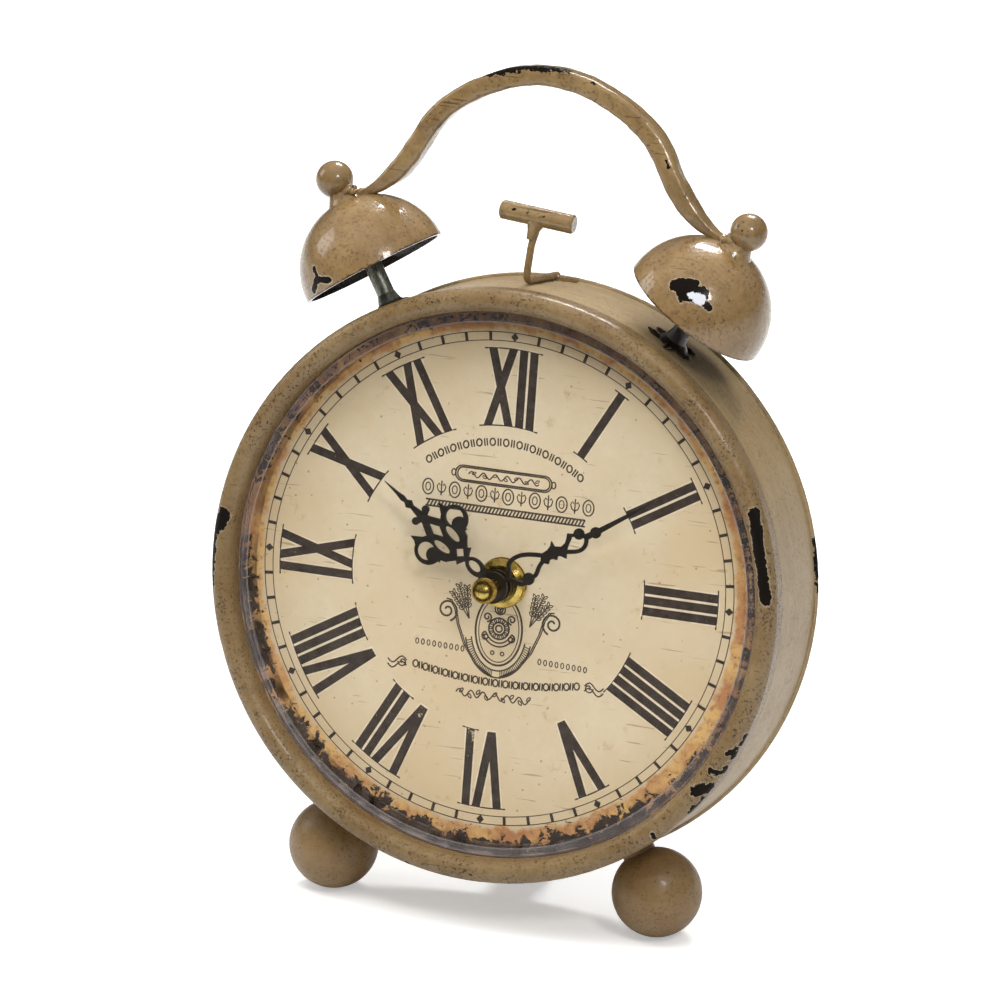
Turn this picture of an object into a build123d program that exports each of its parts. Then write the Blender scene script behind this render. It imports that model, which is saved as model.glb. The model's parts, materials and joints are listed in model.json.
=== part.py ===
from build123d import *
from math import acos, cos, pi, radians, sin, sqrt, tan
import os

# Twin-bell table clock with a quartz movement, in millimetres.
# It is modelled in its case frame: x to the right, y from front to back, z up along the dial, with the
# origin on the case axis at the bezel's widest circle. At the end the whole clock is leaned back onto its
# two ball feet and its rear prop, and its origin is set at the bottom centre of its bounding box.

# Driving dimensions
BEZEL_R = 79.2
BEZEL_INNER_R = 73.2
BEAD_R = 3.0
SHEET = 0.8
DRUM_R = BEZEL_R - SHEET
DRUM_DEPTH = 33.0
DRUM_WALL = 1.2
REAR_BEAD_R = 0.8
LEAN_DEG = 11.5
MID_Y = 14.8

LENS_SEAT_Y = 3.4
LENS_R = 70.2
LENS_APEX_Y = -13.0
LENS_WALL = 1.2
DIAL_Y = 7.0
PAPER = 0.3
PLATE = 1.2

BELL_ANGLE = 30.2
BELL_TIP = 3.5
BELL_R = 19.9
BELL_RADIAL = 89.6
BELL_WALL = 1.2
POST_R = 2.4
FINIAL_R = 5.0
FINIAL_RADIAL = 115.4
NECK_R = 3.3

FOOT_R = 12.0
FOOT_ANGLE = 149.8
FOOT_RADIAL = 91.3
FOOT_Y = 16.6

HANDLE_Y = 16.0
HANDLE_WIDTH = 6.4
HANDLE_THICK = 5.4
HANDLE_LINE = [(53.4, 95.6), (46.6, 98.9), (42.4, 102.3), (38.3, 107.2), (35.1, 112.5), (32.2, 117.7),
               (29.0, 121.8), (25.0, 125.2), (20.2, 128.3), (15.2, 130.7), (9.1, 132.8)]
HANDLE_TOP = 134.0

ARBOR_X = 0.0
ARBOR_R = 1.7
PIPE_R = 2.6
BUSH_R = 4.0
RUN = 0.05
COLLET_R = 4.3
HAND = 0.6
HOUR_HAND_Y = 0.9
MINUTE_HAND_Y = -1.9
HOUR_ANGLE = -54.2
MINUTE_ANGLE = 56.5
CAP_R = 3.45
CAP_Y = -7.2

BOX = 56.0
BOX_WALL = 1.4
BOX_FRONT_Y = 9.6
BOX_SPLIT_Y = 14.6
BOX_BACK_Y = 26.0
PLATE_Y = 15.2
GEAR_DISTANCE = 12.0
BAY_Z = -11.4
CELL_R = 7.1
CELL_LENGTH = 48.5
CELL_Y = 18.6
CELL_Z = -19.0

nodes = {}


# Helpers

def turned(*profile):
    """A solid of revolution about the y axis, from (radius, y) corners."""
    return revolve(make_face(Polyline(*profile, close=True)), axis=Axis.Y)


def turned_lines(lines):
    """A solid of revolution about the y axis, from connected lines and arcs in (radius, y)."""
    return revolve(make_face(lines), axis=Axis.Y)


def upright(*profile):
    """A solid of revolution about the z axis, from (radius, z) corners."""
    return revolve(Plane.XZ * make_face(Polyline(*profile, close=True)), axis=Axis.Z)


def plate(sketch, front_y, thickness):
    """A flat piece parallel to the dial, from its (x, z) outline and its front face."""
    return Pos(0, front_y, 0) * (Plane.XZ * extrude(sketch, -thickness))


def rod(radius, front_y, back_y, x=0.0, z=0.0):
    return Pos(x, 0, z) * plate(Circle(radius), front_y, back_y - front_y)


def around(angle, radial=0.0, y=MID_Y):
    """The place at a clock angle and a radius, with +z pointing outwards."""
    return Rot(0, angle, 0) * Pos(0, y, radial)


def block(x0, x1, y0, y1, z0, z1):
    return Pos((x0 + x1) / 2, (y0 + y1) / 2, (z0 + z1) / 2) * Box(x1 - x0, y1 - y0, z1 - z0)


def together(pieces):
    return Compound(children=[solid for piece in pieces for solid in piece.solids()])


# Case: drum, bezel, lens, dial and rear cover

BEAD_Y = DRUM_DEPTH - REAR_BEAD_R
LIP_Y = 28.3
COVER_Y = LIP_Y + 1.0
COVER = 1.0
DRUM_INNER_R = DRUM_R - DRUM_WALL
COVER_R = DRUM_INNER_R - 0.3
SCREW_RADIAL = 74.2
COVER_ANGLES = (45, 135, 225, 315)

drum_tube = turned((DRUM_INNER_R, 0), (DRUM_R, 0), (DRUM_R, BEAD_Y), (DRUM_INNER_R, BEAD_Y))
drum_bead = revolve(Pos(DRUM_R, BEAD_Y) * Circle(REAR_BEAD_R), axis=Axis.Y)
drum_lip = turned((71.5, LIP_Y), (DRUM_INNER_R + 0.2, LIP_Y), (DRUM_INNER_R + 0.2, COVER_Y), (71.5, COVER_Y))
drum = drum_tube + drum_bead + drum_lip
for angle in COVER_ANGLES:
    drum -= Rot(0, angle, 0) * rod(1.2, LIP_Y - 1, COVER_Y + 1, z=SCREW_RADIAL)
for side in (-1, 1):
    drum -= around(side * FOOT_ANGLE, DRUM_INNER_R, FOOT_Y) * Cylinder(1.6, 6)
nodes["drum_shell"] = drum

bead_centre = BEZEL_R - BEAD_R
inner_bead = BEAD_R - SHEET
nodes["front_bezel"] = turned_lines([
    Line((BEZEL_R, 3.0), (BEZEL_R, -1.0)),
    ThreePointArc((BEZEL_R, -1.0), (bead_centre, -1.0 - BEAD_R), (BEZEL_INNER_R, -1.0)),
    Line((BEZEL_INNER_R, -1.0), (BEZEL_INNER_R, LENS_SEAT_Y)),
    Line((BEZEL_INNER_R, LENS_SEAT_Y), (BEZEL_INNER_R + SHEET, LENS_SEAT_Y)),
    Line((BEZEL_INNER_R + SHEET, LENS_SEAT_Y), (BEZEL_INNER_R + SHEET, -1.0)),
    ThreePointArc((BEZEL_INNER_R + SHEET, -1.0), (bead_centre, -1.0 - inner_bead), (DRUM_R, -1.0)),
    Line((DRUM_R, -1.0), (DRUM_R, 3.0)),
    Line((DRUM_R, 3.0), (BEZEL_R, 3.0)),
])

# The lens: a dome that rises to clear the cap ball, on a thick moulded rim with two steps.
DOME_EDGE_Y = 0.8
dome_rise = DOME_EDGE_Y - LENS_APEX_Y
dome_sphere = (LENS_R ** 2 + dome_rise ** 2) / (2 * dome_rise)
dome_centre = Pos(0, LENS_APEX_Y + dome_sphere, 0)
dome = dome_centre * (Sphere(dome_sphere) - Sphere(dome_sphere - LENS_WALL)) & rod(LENS_R, -20, 2.2)
nodes["lens"] = dome + turned(
    (69.8, 1.2), (70.2, DOME_EDGE_Y), (72.3, DOME_EDGE_Y), (72.9, 1.4), (72.9, LENS_SEAT_Y), (76.8, LENS_SEAT_Y),
    (76.8, 5.0), (72.9, 5.0), (72.9, DIAL_Y), (69.8, DIAL_Y))

DIAL_R = 76.6
dial_hole = Pos(ARBOR_X, 0) * Circle(BUSH_R + 0.2)
nodes["dial_paper"] = plate(Circle(DIAL_R) - dial_hole, DIAL_Y, PAPER)
plate_back_y = DIAL_Y + PAPER + PLATE
nodes["dial_plate"] = plate(Circle(DIAL_R) - dial_hole, DIAL_Y + PAPER, PLATE)

# Bent steel clips, welded to the inside of the drum, hold the dial plate against the lens.
clip_foot = block(-4, 4, plate_back_y, plate_back_y + 1.0, 70.5, DRUM_INNER_R - 0.6)
clip_leg = block(-4, 4, plate_back_y, plate_back_y + 8.0, DRUM_INNER_R - 1.6, DRUM_INNER_R - 0.6)
nodes["dial_clips"] = together([Rot(0, angle, 0) * (clip_foot + clip_leg) for angle in (0, 60, 120, 180, 240, 300)])

OPENING = 62.0
cover_sketch = Circle(COVER_R) - Pos(ARBOR_X, 0) * RectangleRounded(OPENING, OPENING, 6)
cover = plate(cover_sketch, COVER_Y, COVER)
for angle in COVER_ANGLES:
    cover -= Rot(0, angle, 0) * rod(1.2, COVER_Y - 1, COVER_Y + 2, z=SCREW_RADIAL)
nodes["rear_cover"] = cover

cover_back_y = COVER_Y + COVER
screw = turned((0, LIP_Y - 2.5), (1.1, LIP_Y - 2.5), (1.1, cover_back_y), (2.4, cover_back_y),
               (2.4, cover_back_y + 0.7), (1.6, cover_back_y + 1.4), (0, cover_back_y + 1.4))
slot_y = cover_back_y + 1.1
screw -= block(-3, 3, slot_y, slot_y + 2, -0.35, 0.35)
nodes["rear_cover_screws"] = together([Rot(0, angle, 0) * Pos(0, 0, SCREW_RADIAL) * screw
                                       for angle in COVER_ANGLES])

# Bells, posts, finials and ball feet

drum_core = rod(DRUM_R + 0.02, -5, DRUM_DEPTH + 5)
dome_outer = Sphere(BELL_R) & Pos(0, 0, BELL_R / 2) * Box(50, 50, BELL_R)
bell_shell = dome_outer - Sphere(BELL_R - BELL_WALL)

post_top = BELL_RADIAL + BELL_R - 0.3
flare = upright((0, DRUM_R - 3), (4.8, DRUM_R - 3), (4.6, DRUM_R + 0.3), (3.2, DRUM_R + 1.6), (POST_R, DRUM_R + 4),
                (POST_R, post_top), (0, post_top))
neck_foot = BELL_RADIAL + BELL_R - 1.4
finial_low = FINIAL_RADIAL - sqrt(FINIAL_R ** 2 - NECK_R ** 2)
neck = upright((0, neck_foot), (5.2, neck_foot), (4.0, BELL_RADIAL + BELL_R + 0.6), (NECK_R, finial_low),
               (NECK_R, FINIAL_RADIAL), (0, FINIAL_RADIAL))
finial = neck + Pos(0, 0, FINIAL_RADIAL) * Sphere(FINIAL_R)
finial -= Pos(0, 0, BELL_RADIAL) * Sphere(BELL_R)

foot_neck = upright((0, DRUM_R - 3), (4.5, DRUM_R - 3), (4.5, FOOT_RADIAL - 8), (0, FOOT_RADIAL - 8))
ball = Pos(0, 0, FOOT_RADIAL) * Sphere(FOOT_R) + foot_neck - upright((0, 70), (1.5, 70), (1.5, 88), (0, 88))
foot_screw = upright((0, DRUM_INNER_R - 2.0), (2.8, DRUM_INNER_R - 2.0), (2.8, DRUM_INNER_R - 0.4),
                     (1.4, DRUM_INNER_R - 0.4), (1.4, 87.5), (0, 87.5))

for side, name in ((-1, "left"), (1, "right")):
    place = around(side * BELL_ANGLE)
    tipped_bell = Rot(0, side * BELL_TIP, 0) * bell_shell - Cylinder(POST_R, 60)
    nodes[name + "_bell"] = place * Pos(0, 0, BELL_RADIAL) * tipped_bell
    nodes[name + "_bell_post"] = place * flare - drum_core
    nodes[name + "_finial"] = place * finial
    nodes[name + "_ball_foot"] = around(side * FOOT_ANGLE, y=FOOT_Y) * ball - drum_core
nodes["foot_screws"] = together([around(side * FOOT_ANGLE, y=FOOT_Y) * foot_screw for side in (-1, 1)])

# Handle: a bar, bent in the plane of the bells and welded to the necks of the finials.
right_line = [(x, z) for x, z in HANDLE_LINE]
left_line = [(-x, z) for x, z in reversed(HANDLE_LINE)]
handle_line = Spline(*(right_line + [(0, HANDLE_TOP)] + left_line))
bar = plate(trace(handle_line, HANDLE_THICK), HANDLE_Y - HANDLE_WIDTH / 2, HANDLE_WIDTH)
for side in (-1, 1):
    bar -= around(side * BELL_ANGLE, BELL_RADIAL) * Sphere(BELL_R + 0.05)
nodes["handle"] = (bar - nodes["left_finial"] - nodes["right_finial"]).solids().sort_by(SortBy.VOLUME)[-1]

# Hammer: a round head on a wire stalk, welded to the top of the drum.
HEAD_R = 2.55
HEAD_LENGTH = 20.6
HEAD_X = -0.4
HEAD_Y = 14.8
HEAD_Z = 96.7
HEAD_TILT = 5.0
WIRE_R = 1.0
head_place = Pos(HEAD_X, HEAD_Y, HEAD_Z) * Rot(0, 90 + HEAD_TILT, 0)
head = head_place * Cylinder(HEAD_R, HEAD_LENGTH)
nodes["hammer_head"] = chamfer(head.edges(), 0.4)
wire_z = DRUM_R + WIRE_R + 0.1
stalk_path = FilletPolyline((HEAD_X, HEAD_Y, HEAD_Z - 3), (-1.4, 14.1, 89.5), (-2.1, 13.5, wire_z),
                            (1.0, 29.3, wire_z), radius=[12.0, 2.2])
stalk = sweep(Plane(origin=stalk_path @ 0, z_dir=stalk_path % 0) * Circle(WIRE_R), path=stalk_path)
weld_plane = Plane(origin=(HEAD_X, HEAD_Y, HEAD_Z), z_dir=(1.0, 0.7, 4.2))
stalk_weld = weld_plane * upright((0, -6.4), (1.0, -6.4), (1.5, -4.2), (2.3, -2.2), (2.3, 0), (0, 0))
stalk = stalk + stalk_weld - head_place * Cylinder(HEAD_R + 0.01, HEAD_LENGTH + 4)
nodes["hammer_stalk"] = stalk - drum_core
tab = Pos(3.6, 29.6, DRUM_R) * Rot(0, 2.6, 12) * Box(6.0, 3.0, 2.0)
tab_limit = rod(DRUM_R + 0.9, 0, BEAD_Y - REAR_BEAD_R - 0.05)
nodes["hammer_weld_plate"] = (tab & tab_limit) - drum_core - stalk

# Rear prop: a bent steel strip, riveted to the rear cover, that stands on a rubber pad.
PROP_WIDTH = 14.0
PROP_THICK = 2.0
PAD = 1.6
lean = radians(LEAN_DEG)
foot_centre = around(FOOT_ANGLE, FOOT_RADIAL, FOOT_Y)
foot_y, foot_z = foot_centre.position.Y, foot_centre.position.Z
ground = -foot_y * sin(lean) + foot_z * cos(lean) - FOOT_R


def on_ground(y, above):
    """The case-frame point at depth y that stands this far above the ground."""
    return (y, (ground + above + y * sin(lean)) / cos(lean))


prop_y = cover_back_y + PROP_THICK / 2
prop_top, prop_knee = -50.0, -66.0
sole = PAD + PROP_THICK / 2
prop_path = FilletPolyline((prop_y, prop_top), (prop_y, prop_knee), on_ground(47.0, sole), on_ground(57.0, sole),
                           radius=3.0)
prop_side = extrude(trace(prop_path, PROP_THICK), PROP_WIDTH / 2, both=True)
prop = Plane.YZ * prop_side
rivet_zs = (prop_top - 4.0, prop_knee + 5.0)
for rivet_z in rivet_zs:
    prop -= rod(1.5, 20, 40, z=rivet_z)
    nodes["rear_cover"] -= rod(1.5, 20, 40, z=rivet_z)
nodes["rear_prop"] = prop
rivet = turned((0, COVER_Y - 0.8), (2.6, COVER_Y - 0.8), (2.6, COVER_Y), (1.5, COVER_Y), (1.5, prop_y + 1.0),
               (2.8, prop_y + 1.0), (2.0, prop_y + 2.2), (0, prop_y + 2.2))
nodes["prop_rivets"] = together([Pos(0, 0, rivet_z) * rivet for rivet_z in rivet_zs])
pad_y, pad_z = on_ground(52.8, PAD / 2)
nodes["prop_pad"] = Pos(0, pad_y, pad_z) * Rot(LEAN_DEG, 0, 0) * Box(PROP_WIDTH, 7.0, PAD)


# Gears

def gear_outline(teeth, module, phase_deg, play=0.13):
    """Involute teeth with a little play; the first tooth is centred on the phase angle."""
    pressure = radians(25)
    pitch_r = teeth * module / 2
    base_r = pitch_r * cos(pressure)
    tip_r = pitch_r + 0.8 * module
    root_r = pitch_r - 1.1 * module
    half_at_pitch = (pi * module / 2 - play) / 2 / pitch_r

    def flank(radius):
        if radius <= base_r:
            spread = 0.0
        else:
            roll = acos(base_r / radius)
            spread = tan(roll) - roll
        return half_at_pitch + tan(pressure) - pressure - spread

    steps = [root_r, max(base_r, root_r + 0.01), (base_r + tip_r) / 2, tip_r]
    corners = []
    for tooth in range(teeth):
        middle = radians(phase_deg) + 2 * pi * tooth / teeth
        for radius in steps:
            corners.append((radius * cos(middle - flank(radius)), radius * sin(middle - flank(radius))))
        for radius in reversed(steps):
            corners.append((radius * cos(middle + flank(radius)), radius * sin(middle + flank(radius))))
    return make_face(Polyline(*corners, close=True))


def gear(teeth, module, front_y, thickness, phase_deg, x, z):
    return Pos(x, 0, z) * plate(gear_outline(teeth, module, phase_deg), front_y, thickness)


def facing(teeth, direction_deg):
    """The phase that puts a gap, not a tooth, towards a direction."""
    return direction_deg + 180 / teeth


MINUTE_TEETH, MOTION_TEETH, WHEEL_MODULE = 12, 36, 0.5
PINION_TEETH, HOUR_TEETH, HOUR_MODULE = 12, 48, 0.4
KNOB_TEETH = 12
motion_x, motion_z = ARBOR_X, GEAR_DISTANCE
knob_x, knob_z = ARBOR_X + GEAR_DISTANCE, GEAR_DISTANCE
rotor_x, rotor_z = ARBOR_X - 11.0, 6.0

arbor = rod(ARBOR_R, MINUTE_HAND_Y, 17.0, x=ARBOR_X) + rod(1.2, -5.0, MINUTE_HAND_Y, x=ARBOR_X)
nodes["minute_arbor"] = arbor + gear(MINUTE_TEETH, WHEEL_MODULE, 13.1, 1.5, 90, ARBOR_X, 0)

hour_wheel = gear(HOUR_TEETH, HOUR_MODULE, 11.4, 1.2, facing(HOUR_TEETH, 90), ARBOR_X, 0)
hour_pipe = rod(PIPE_R, HOUR_HAND_Y - 0.3, 12.6, x=ARBOR_X)
nodes["hour_wheel"] = hour_wheel + hour_pipe - rod(ARBOR_R + RUN, -1, 14, x=ARBOR_X)

motion = gear(MOTION_TEETH, WHEEL_MODULE, 13.3, 1.2, facing(MOTION_TEETH, -90), motion_x, motion_z)
motion += gear(PINION_TEETH, HOUR_MODULE, 11.3, 1.5, -90, motion_x, motion_z)
motion += rod(2.0, 12.0, 14.0, x=motion_x, z=motion_z)
nodes["motion_wheel"] = motion - rod(1.0 + RUN, 10, 16, x=motion_x, z=motion_z)

# The motion wheel has a gap towards the minute arbor. A quarter turn away, towards the knob, is a whole
# number of its 36 teeth, so it has a gap there too, and the knob's pinion has a tooth.
knob = gear(KNOB_TEETH, WHEEL_MODULE, 13.1, 1.6, 180, knob_x, knob_z)
knob += rod(1.5, 14.0, 28.0, x=knob_x, z=knob_z)
knob_grip = Pos(knob_x, 0, knob_z) * turned((0, 26.5), (6.2, 26.5), (6.6, 27.0), (6.6, 30.4), (5.9, 31.2), (0, 31.2))
for ridge in range(20):
    groove_place = Pos(knob_x, 28.9, knob_z) * Rot(0, ridge * 18, 0) * Pos(0, 0, 6.7)
    knob_grip -= groove_place * Box(0.8, 8, 0.9)
nodes["setting_knob"] = knob + knob_grip

# Movement

half = BOX / 2
inner = half - BOX_WALL


def centred(y0, y1, z0, z1, half_width):
    return block(ARBOR_X - half_width, ARBOR_X + half_width, y0, y1, z0, z1)


box_sketch = Pos(ARBOR_X, 0) * RectangleRounded(BOX, BOX, 3)
front = plate(box_sketch, BOX_FRONT_Y, BOX_SPLIT_Y - BOX_FRONT_Y)
front -= centred(BOX_FRONT_Y + 1.5, BOX_SPLIT_Y + 1, -inner, inner, inner)
bush_front_y = 4.0
front += rod(BUSH_R, bush_front_y, BOX_FRONT_Y + 0.5, x=ARBOR_X)
front -= rod(PIPE_R + RUN, 0, 12, x=ARBOR_X)
front += rod(1.0, BOX_FRONT_Y + 1.0, PLATE_Y, x=motion_x, z=motion_z)
nodes["movement_front_case"] = front

rear = plate(box_sketch, BOX_SPLIT_Y, BOX_BACK_Y - BOX_SPLIT_Y)
rear -= centred(BOX_SPLIT_Y - 1, BOX_BACK_Y - BOX_WALL, BAY_Z + BOX_WALL, inner, inner)
rear -= centred(BOX_SPLIT_Y - 1, BOX_BACK_Y + 1, -inner, BAY_Z, inner)
rear -= rod(1.5 + RUN, 20, 30, x=knob_x, z=knob_z)
nodes["movement_rear_case"] = rear

middle = centred(PLATE_Y, PLATE_Y + 1.0, BAY_Z + BOX_WALL, inner, inner)
middle -= rod(ARBOR_R + RUN, 14, 18, x=ARBOR_X)
middle -= rod(1.5 + RUN, 14, 18, x=knob_x, z=knob_z)
middle -= rod(0.6 + RUN, 14, 18, x=rotor_x, z=rotor_z)
nodes["middle_plate"] = middle
middle_back_y = PLATE_Y + 1.0

stator_y = 18.0
stator_plate = block(rotor_x - 7, rotor_x + 6, stator_y, stator_y + 1.0, rotor_z - 5, 22.5)
stator_plate -= rod(3.5, 15, 25, x=rotor_x, z=rotor_z)
stator_plate -= block(rotor_x - 0.3, rotor_x + 7, stator_y - 1, stator_y + 2, 12.0, 15.5)
coil_x0, coil_x1, coil_z = rotor_x + 6.0, ARBOR_X + 22.0, 21.0
stator_core = block(rotor_x + 5, coil_x1 + 1, stator_y, stator_y + 1.0, coil_z - 1.5, coil_z + 1.5)
nodes["stator"] = stator_plate + stator_core

coil_axis_y = stator_y + 0.5
bobbin_tube = block(coil_x0 + 0.2, coil_x1, coil_axis_y - 1.5, coil_axis_y + 1.5, coil_z - 2.4, coil_z + 2.4)
bobbin_ends = [block(x, x + 0.8, coil_axis_y - 2.2, coil_axis_y + 4.2, coil_z - 4.4, coil_z + 4.4)
               for x in (coil_x0 + 0.2, coil_x1 - 0.8)]
core_hole = block(coil_x0 - 1, coil_x1 + 2, stator_y, stator_y + 1.0, coil_z - 1.5, coil_z + 1.5)
nodes["coil_bobbin"] = bobbin_tube + bobbin_ends[0] + bobbin_ends[1] - core_hole
winding = block(coil_x0 + 1.0, coil_x1 - 0.8, coil_axis_y - 2.1, coil_axis_y + 3.6, coil_z - 3.9, coil_z + 3.9)
nodes["coil_winding"] = fillet(winding.edges().filter_by(Axis.X), 1.2) - bobbin_tube

rotor = turned((0, 15.3), (0.6, 15.3), (0.6, 17.2), (3.0, 17.2), (3.0, 20.0), (1.1, 20.0), (1.1, 22.4),
               (0.6, 22.4), (0.6, 24.0), (0, 24.0))
nodes["rotor"] = Pos(rotor_x, 0, rotor_z) * rotor

board = block(ARBOR_X + 4.5, ARBOR_X + 25.0, middle_back_y + 0.6, middle_back_y + 1.4, -8.5, 6.0)
nodes["circuit_board"] = board + rod(3.2, middle_back_y + 1.2, middle_back_y + 2.2, x=ARBOR_X + 11, z=-1.5)
crystal = Pos(ARBOR_X + 20.0, middle_back_y + 2.6, -2.0) * Cylinder(1.1, 6.2)
nodes["quartz_crystal"] = crystal

cell = Pos(ARBOR_X, CELL_Y, CELL_Z) * Rot(0, 90, 0) * Cylinder(CELL_R, CELL_LENGTH)
nub = Pos(ARBOR_X + CELL_LENGTH / 2 + 0.5, CELL_Y, CELL_Z) * Rot(0, 90, 0) * Cylinder(2.6, 1.6)
nodes["battery"] = fillet(cell.edges(), 0.6) + nub
contact_z0, contact_z1 = CELL_Z - 5, CELL_Z + 5
plus_x = ARBOR_X + inner
nodes["positive_contact"] = block(plus_x - 0.5, plus_x - 0.05, 12.5, 24.5, contact_z0, contact_z1)
minus_x = ARBOR_X - inner + 0.05
contact_spring = Pos(minus_x + 0.9, CELL_Y, CELL_Z) * Rot(0, 90, 0) * Cone(3.6, 2.2, 1.4)
nodes["negative_contact"] = block(minus_x, minus_x + 0.45, 12.5, 24.5, contact_z0, contact_z1) + contact_spring

bush_bore = rod(BUSH_R, 0, 10, x=ARBOR_X)
nodes["rubber_washer"] = rod(9.0, plate_back_y, BOX_FRONT_Y, x=ARBOR_X) - bush_bore
nodes["hub_washer"] = rod(6.8, DIAL_Y - 0.5, DIAL_Y, x=ARBOR_X) - bush_bore
hub_nut = turned((0, 4.2), (5.0, 4.2), (6.4, 5.0), (6.6, 5.4), (6.6, DIAL_Y - 0.5), (0, DIAL_Y - 0.5))
nodes["hub_nut"] = Pos(ARBOR_X, 0, 0) * hub_nut - bush_bore


# Hands. Each is drawn pointing to twelve: (sideways, outwards) from the arbor.

def dot(side, out, radius):
    return Pos(side, out) * Circle(radius)


def oval(side, out, half_side, half_out, tilt=0.0):
    return Pos(side, out) * Rot(0, 0, tilt) * Ellipse(half_side, half_out)


def patch(*corners):
    return make_face(Polyline(*corners, close=True))


def strand(width, *points):
    return trace(Spline(*points), width)


def mirrored(sketch):
    return sketch + mirror(sketch, about=Plane.YZ)


def merged(shapes):
    whole = shapes[0]
    for shape in shapes[1:]:
        whole += shape
    return whole


hour_half = merged([
    patch((0, 9.8), (0.75, 9.8), (1.0, 10.5), (3.1, 11.5), (2.4, 12.3), (3.4, 13.2), (4.7, 14.2), (5.3, 15.6),
          (6.1, 15.4), (5.8, 17.4), (4.5, 19.5), (2.9, 22.9), (1.4, 25.6), (1.0, 27.8), (0.55, 30.6), (1.25, 31.8),
          (0.5, 32.9), (0.75, 34.1), (0.42, 35.9), (0, 40.8)),
    dot(5.7, 19.8, 3.9),
    patch((3.6, 22.6), (4.6, 24.0), (6.1, 25.9), (6.4, 24.4), (7.4, 22.9), (5.5, 21.0)),
    oval(1.3, 27.0, 1.7, 0.9, 20),
    dot(2.15, 27.4, 1.05),
])
scroll_hole = dot(6.2, 20.1, 2.45) - dot(5.6, 17.9, 2.1)
hour_holes = merged([
    mirrored(scroll_hole),
    mirrored(oval(2.35, 17.6, 1.05, 2.6, -6)),
    patch((0, 19.0), (1.35, 21.6), (0, 24.2), (-1.35, 21.6)),
    patch((0, 11.5), (1.4, 12.9), (0, 14.3), (-1.4, 12.9)),
    oval(0, 7.6, 1.15, 1.95),
])
hour_sketch = mirrored(hour_half) + oval(0, 7.2, 2.15, 3.3) + Circle(COLLET_R) - hour_holes

minute_sketch = merged([
    Circle(COLLET_R),
    strand(1.15, (0, 3.5), (-1.9, 6.6), (-3.5, 7.7), (-4.05, 9.4), (-3.95, 11.3), (-1.2, 17.0)),
    strand(1.15, (0, 3.5), (1.2, 6.5), (2.7, 7.9), (3.1, 9.6)),
    dot(2.5, 10.45, 1.65),
    strand(1.1, (2.6, 11.6), (2.4, 12.9), (1.3, 14.3), (0.5, 15.6), (0.1, 17.0)),
    patch((-0.5, 16.0), (-1.8, 17.3), (-1.95, 19.0), (-2.5, 20.2), (-3.5, 21.1), (-1.9, 21.2), (-1.0, 22.8),
          (-1.4, 24.3), (-2.3, 25.3), (-3.35, 26.1), (-2.7, 27.1), (-1.5, 26.4), (-0.2, 24.6), (0.9, 23.6),
          (2.45, 22.6), (1.3, 21.7), (0.8, 20.9), (1.6, 20.05), (0.8, 19.2), (0.75, 18.3), (1.55, 17.45),
          (0.9, 16.6), (0.5, 15.6)),
    strand(0.9, (-2.4, 26.6), (-2.1, 27.6), (-1.9, 28.4)),
    dot(-1.75, 28.95, 1.5),
    strand(1.1, (0.6, 22.9), (1.65, 25.2), (2.2, 27.2), (1.75, 28.9), (0.6, 30.0), (-0.4, 30.5)),
    patch((-1.1, 29.6), (0.4, 29.6), (0.75, 31.2), (0.6, 32.4), (-0.9, 32.4)),
    dot(0, 33.3, 1.5),
    patch((-0.75, 34.2), (0.75, 34.2), (0.5, 44.6), (0, 52.4), (-0.5, 44.6)),
])


def set_at(angle, sketch):
    return Pos(ARBOR_X, 0) * Rot(0, 0, -angle) * sketch


pipe_bore = rod(PIPE_R, -6, 12, x=ARBOR_X)
arbor_bore = rod(ARBOR_R, -6, 12, x=ARBOR_X)
nodes["hour_hand"] = plate(set_at(HOUR_ANGLE, hour_sketch), HOUR_HAND_Y, HAND) - pipe_bore
hour_collet_y = HOUR_HAND_Y + HAND
nodes["hour_collet"] = rod(COLLET_R - 0.3, hour_collet_y, hour_collet_y + 1.9, x=ARBOR_X) - pipe_bore
nodes["minute_hand"] = plate(set_at(MINUTE_ANGLE, minute_sketch), MINUTE_HAND_Y, HAND) - arbor_bore
minute_collet_y = MINUTE_HAND_Y + HAND
nodes["minute_collet"] = rod(COLLET_R - 0.3, minute_collet_y, minute_collet_y + 1.5, x=ARBOR_X) - arbor_bore
cap_neck = turned((0, CAP_Y), (2.3, CAP_Y + 2.2), (2.6, MINUTE_HAND_Y - 0.8), (2.6, MINUTE_HAND_Y), (0, MINUTE_HAND_Y))
cap = Pos(0, CAP_Y, 0) * Sphere(CAP_R) + cap_neck - rod(1.2, -5.0, 0)
nodes["cap_ball"] = Pos(ARBOR_X, 0, 0) * cap

# Stand the clock up: lean it back, then set its origin at the bottom centre.
leaned = {name: Rot(-LEAN_DEG, 0, 0) * piece for name, piece in nodes.items()}
boxes = [piece.bounding_box() for piece in leaned.values()]
low_y, high_y = min(box.min.Y for box in boxes), max(box.max.Y for box in boxes)
low_z = min(box.min.Z for box in boxes)
STAND = Pos(0, -(low_y + high_y) / 2, -low_z)

if __name__ == "__main__":
    os.makedirs("parts", exist_ok=True)
    for name, piece in leaned.items():
        export_step(STAND * piece, "parts/" + name + ".step")
    print(len(leaned), "nodes, depth", round(high_y - low_y, 1), "lift", round(-low_z, 2))
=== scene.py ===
import json
import math

import bpy
from mathutils import Matrix, Vector


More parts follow.
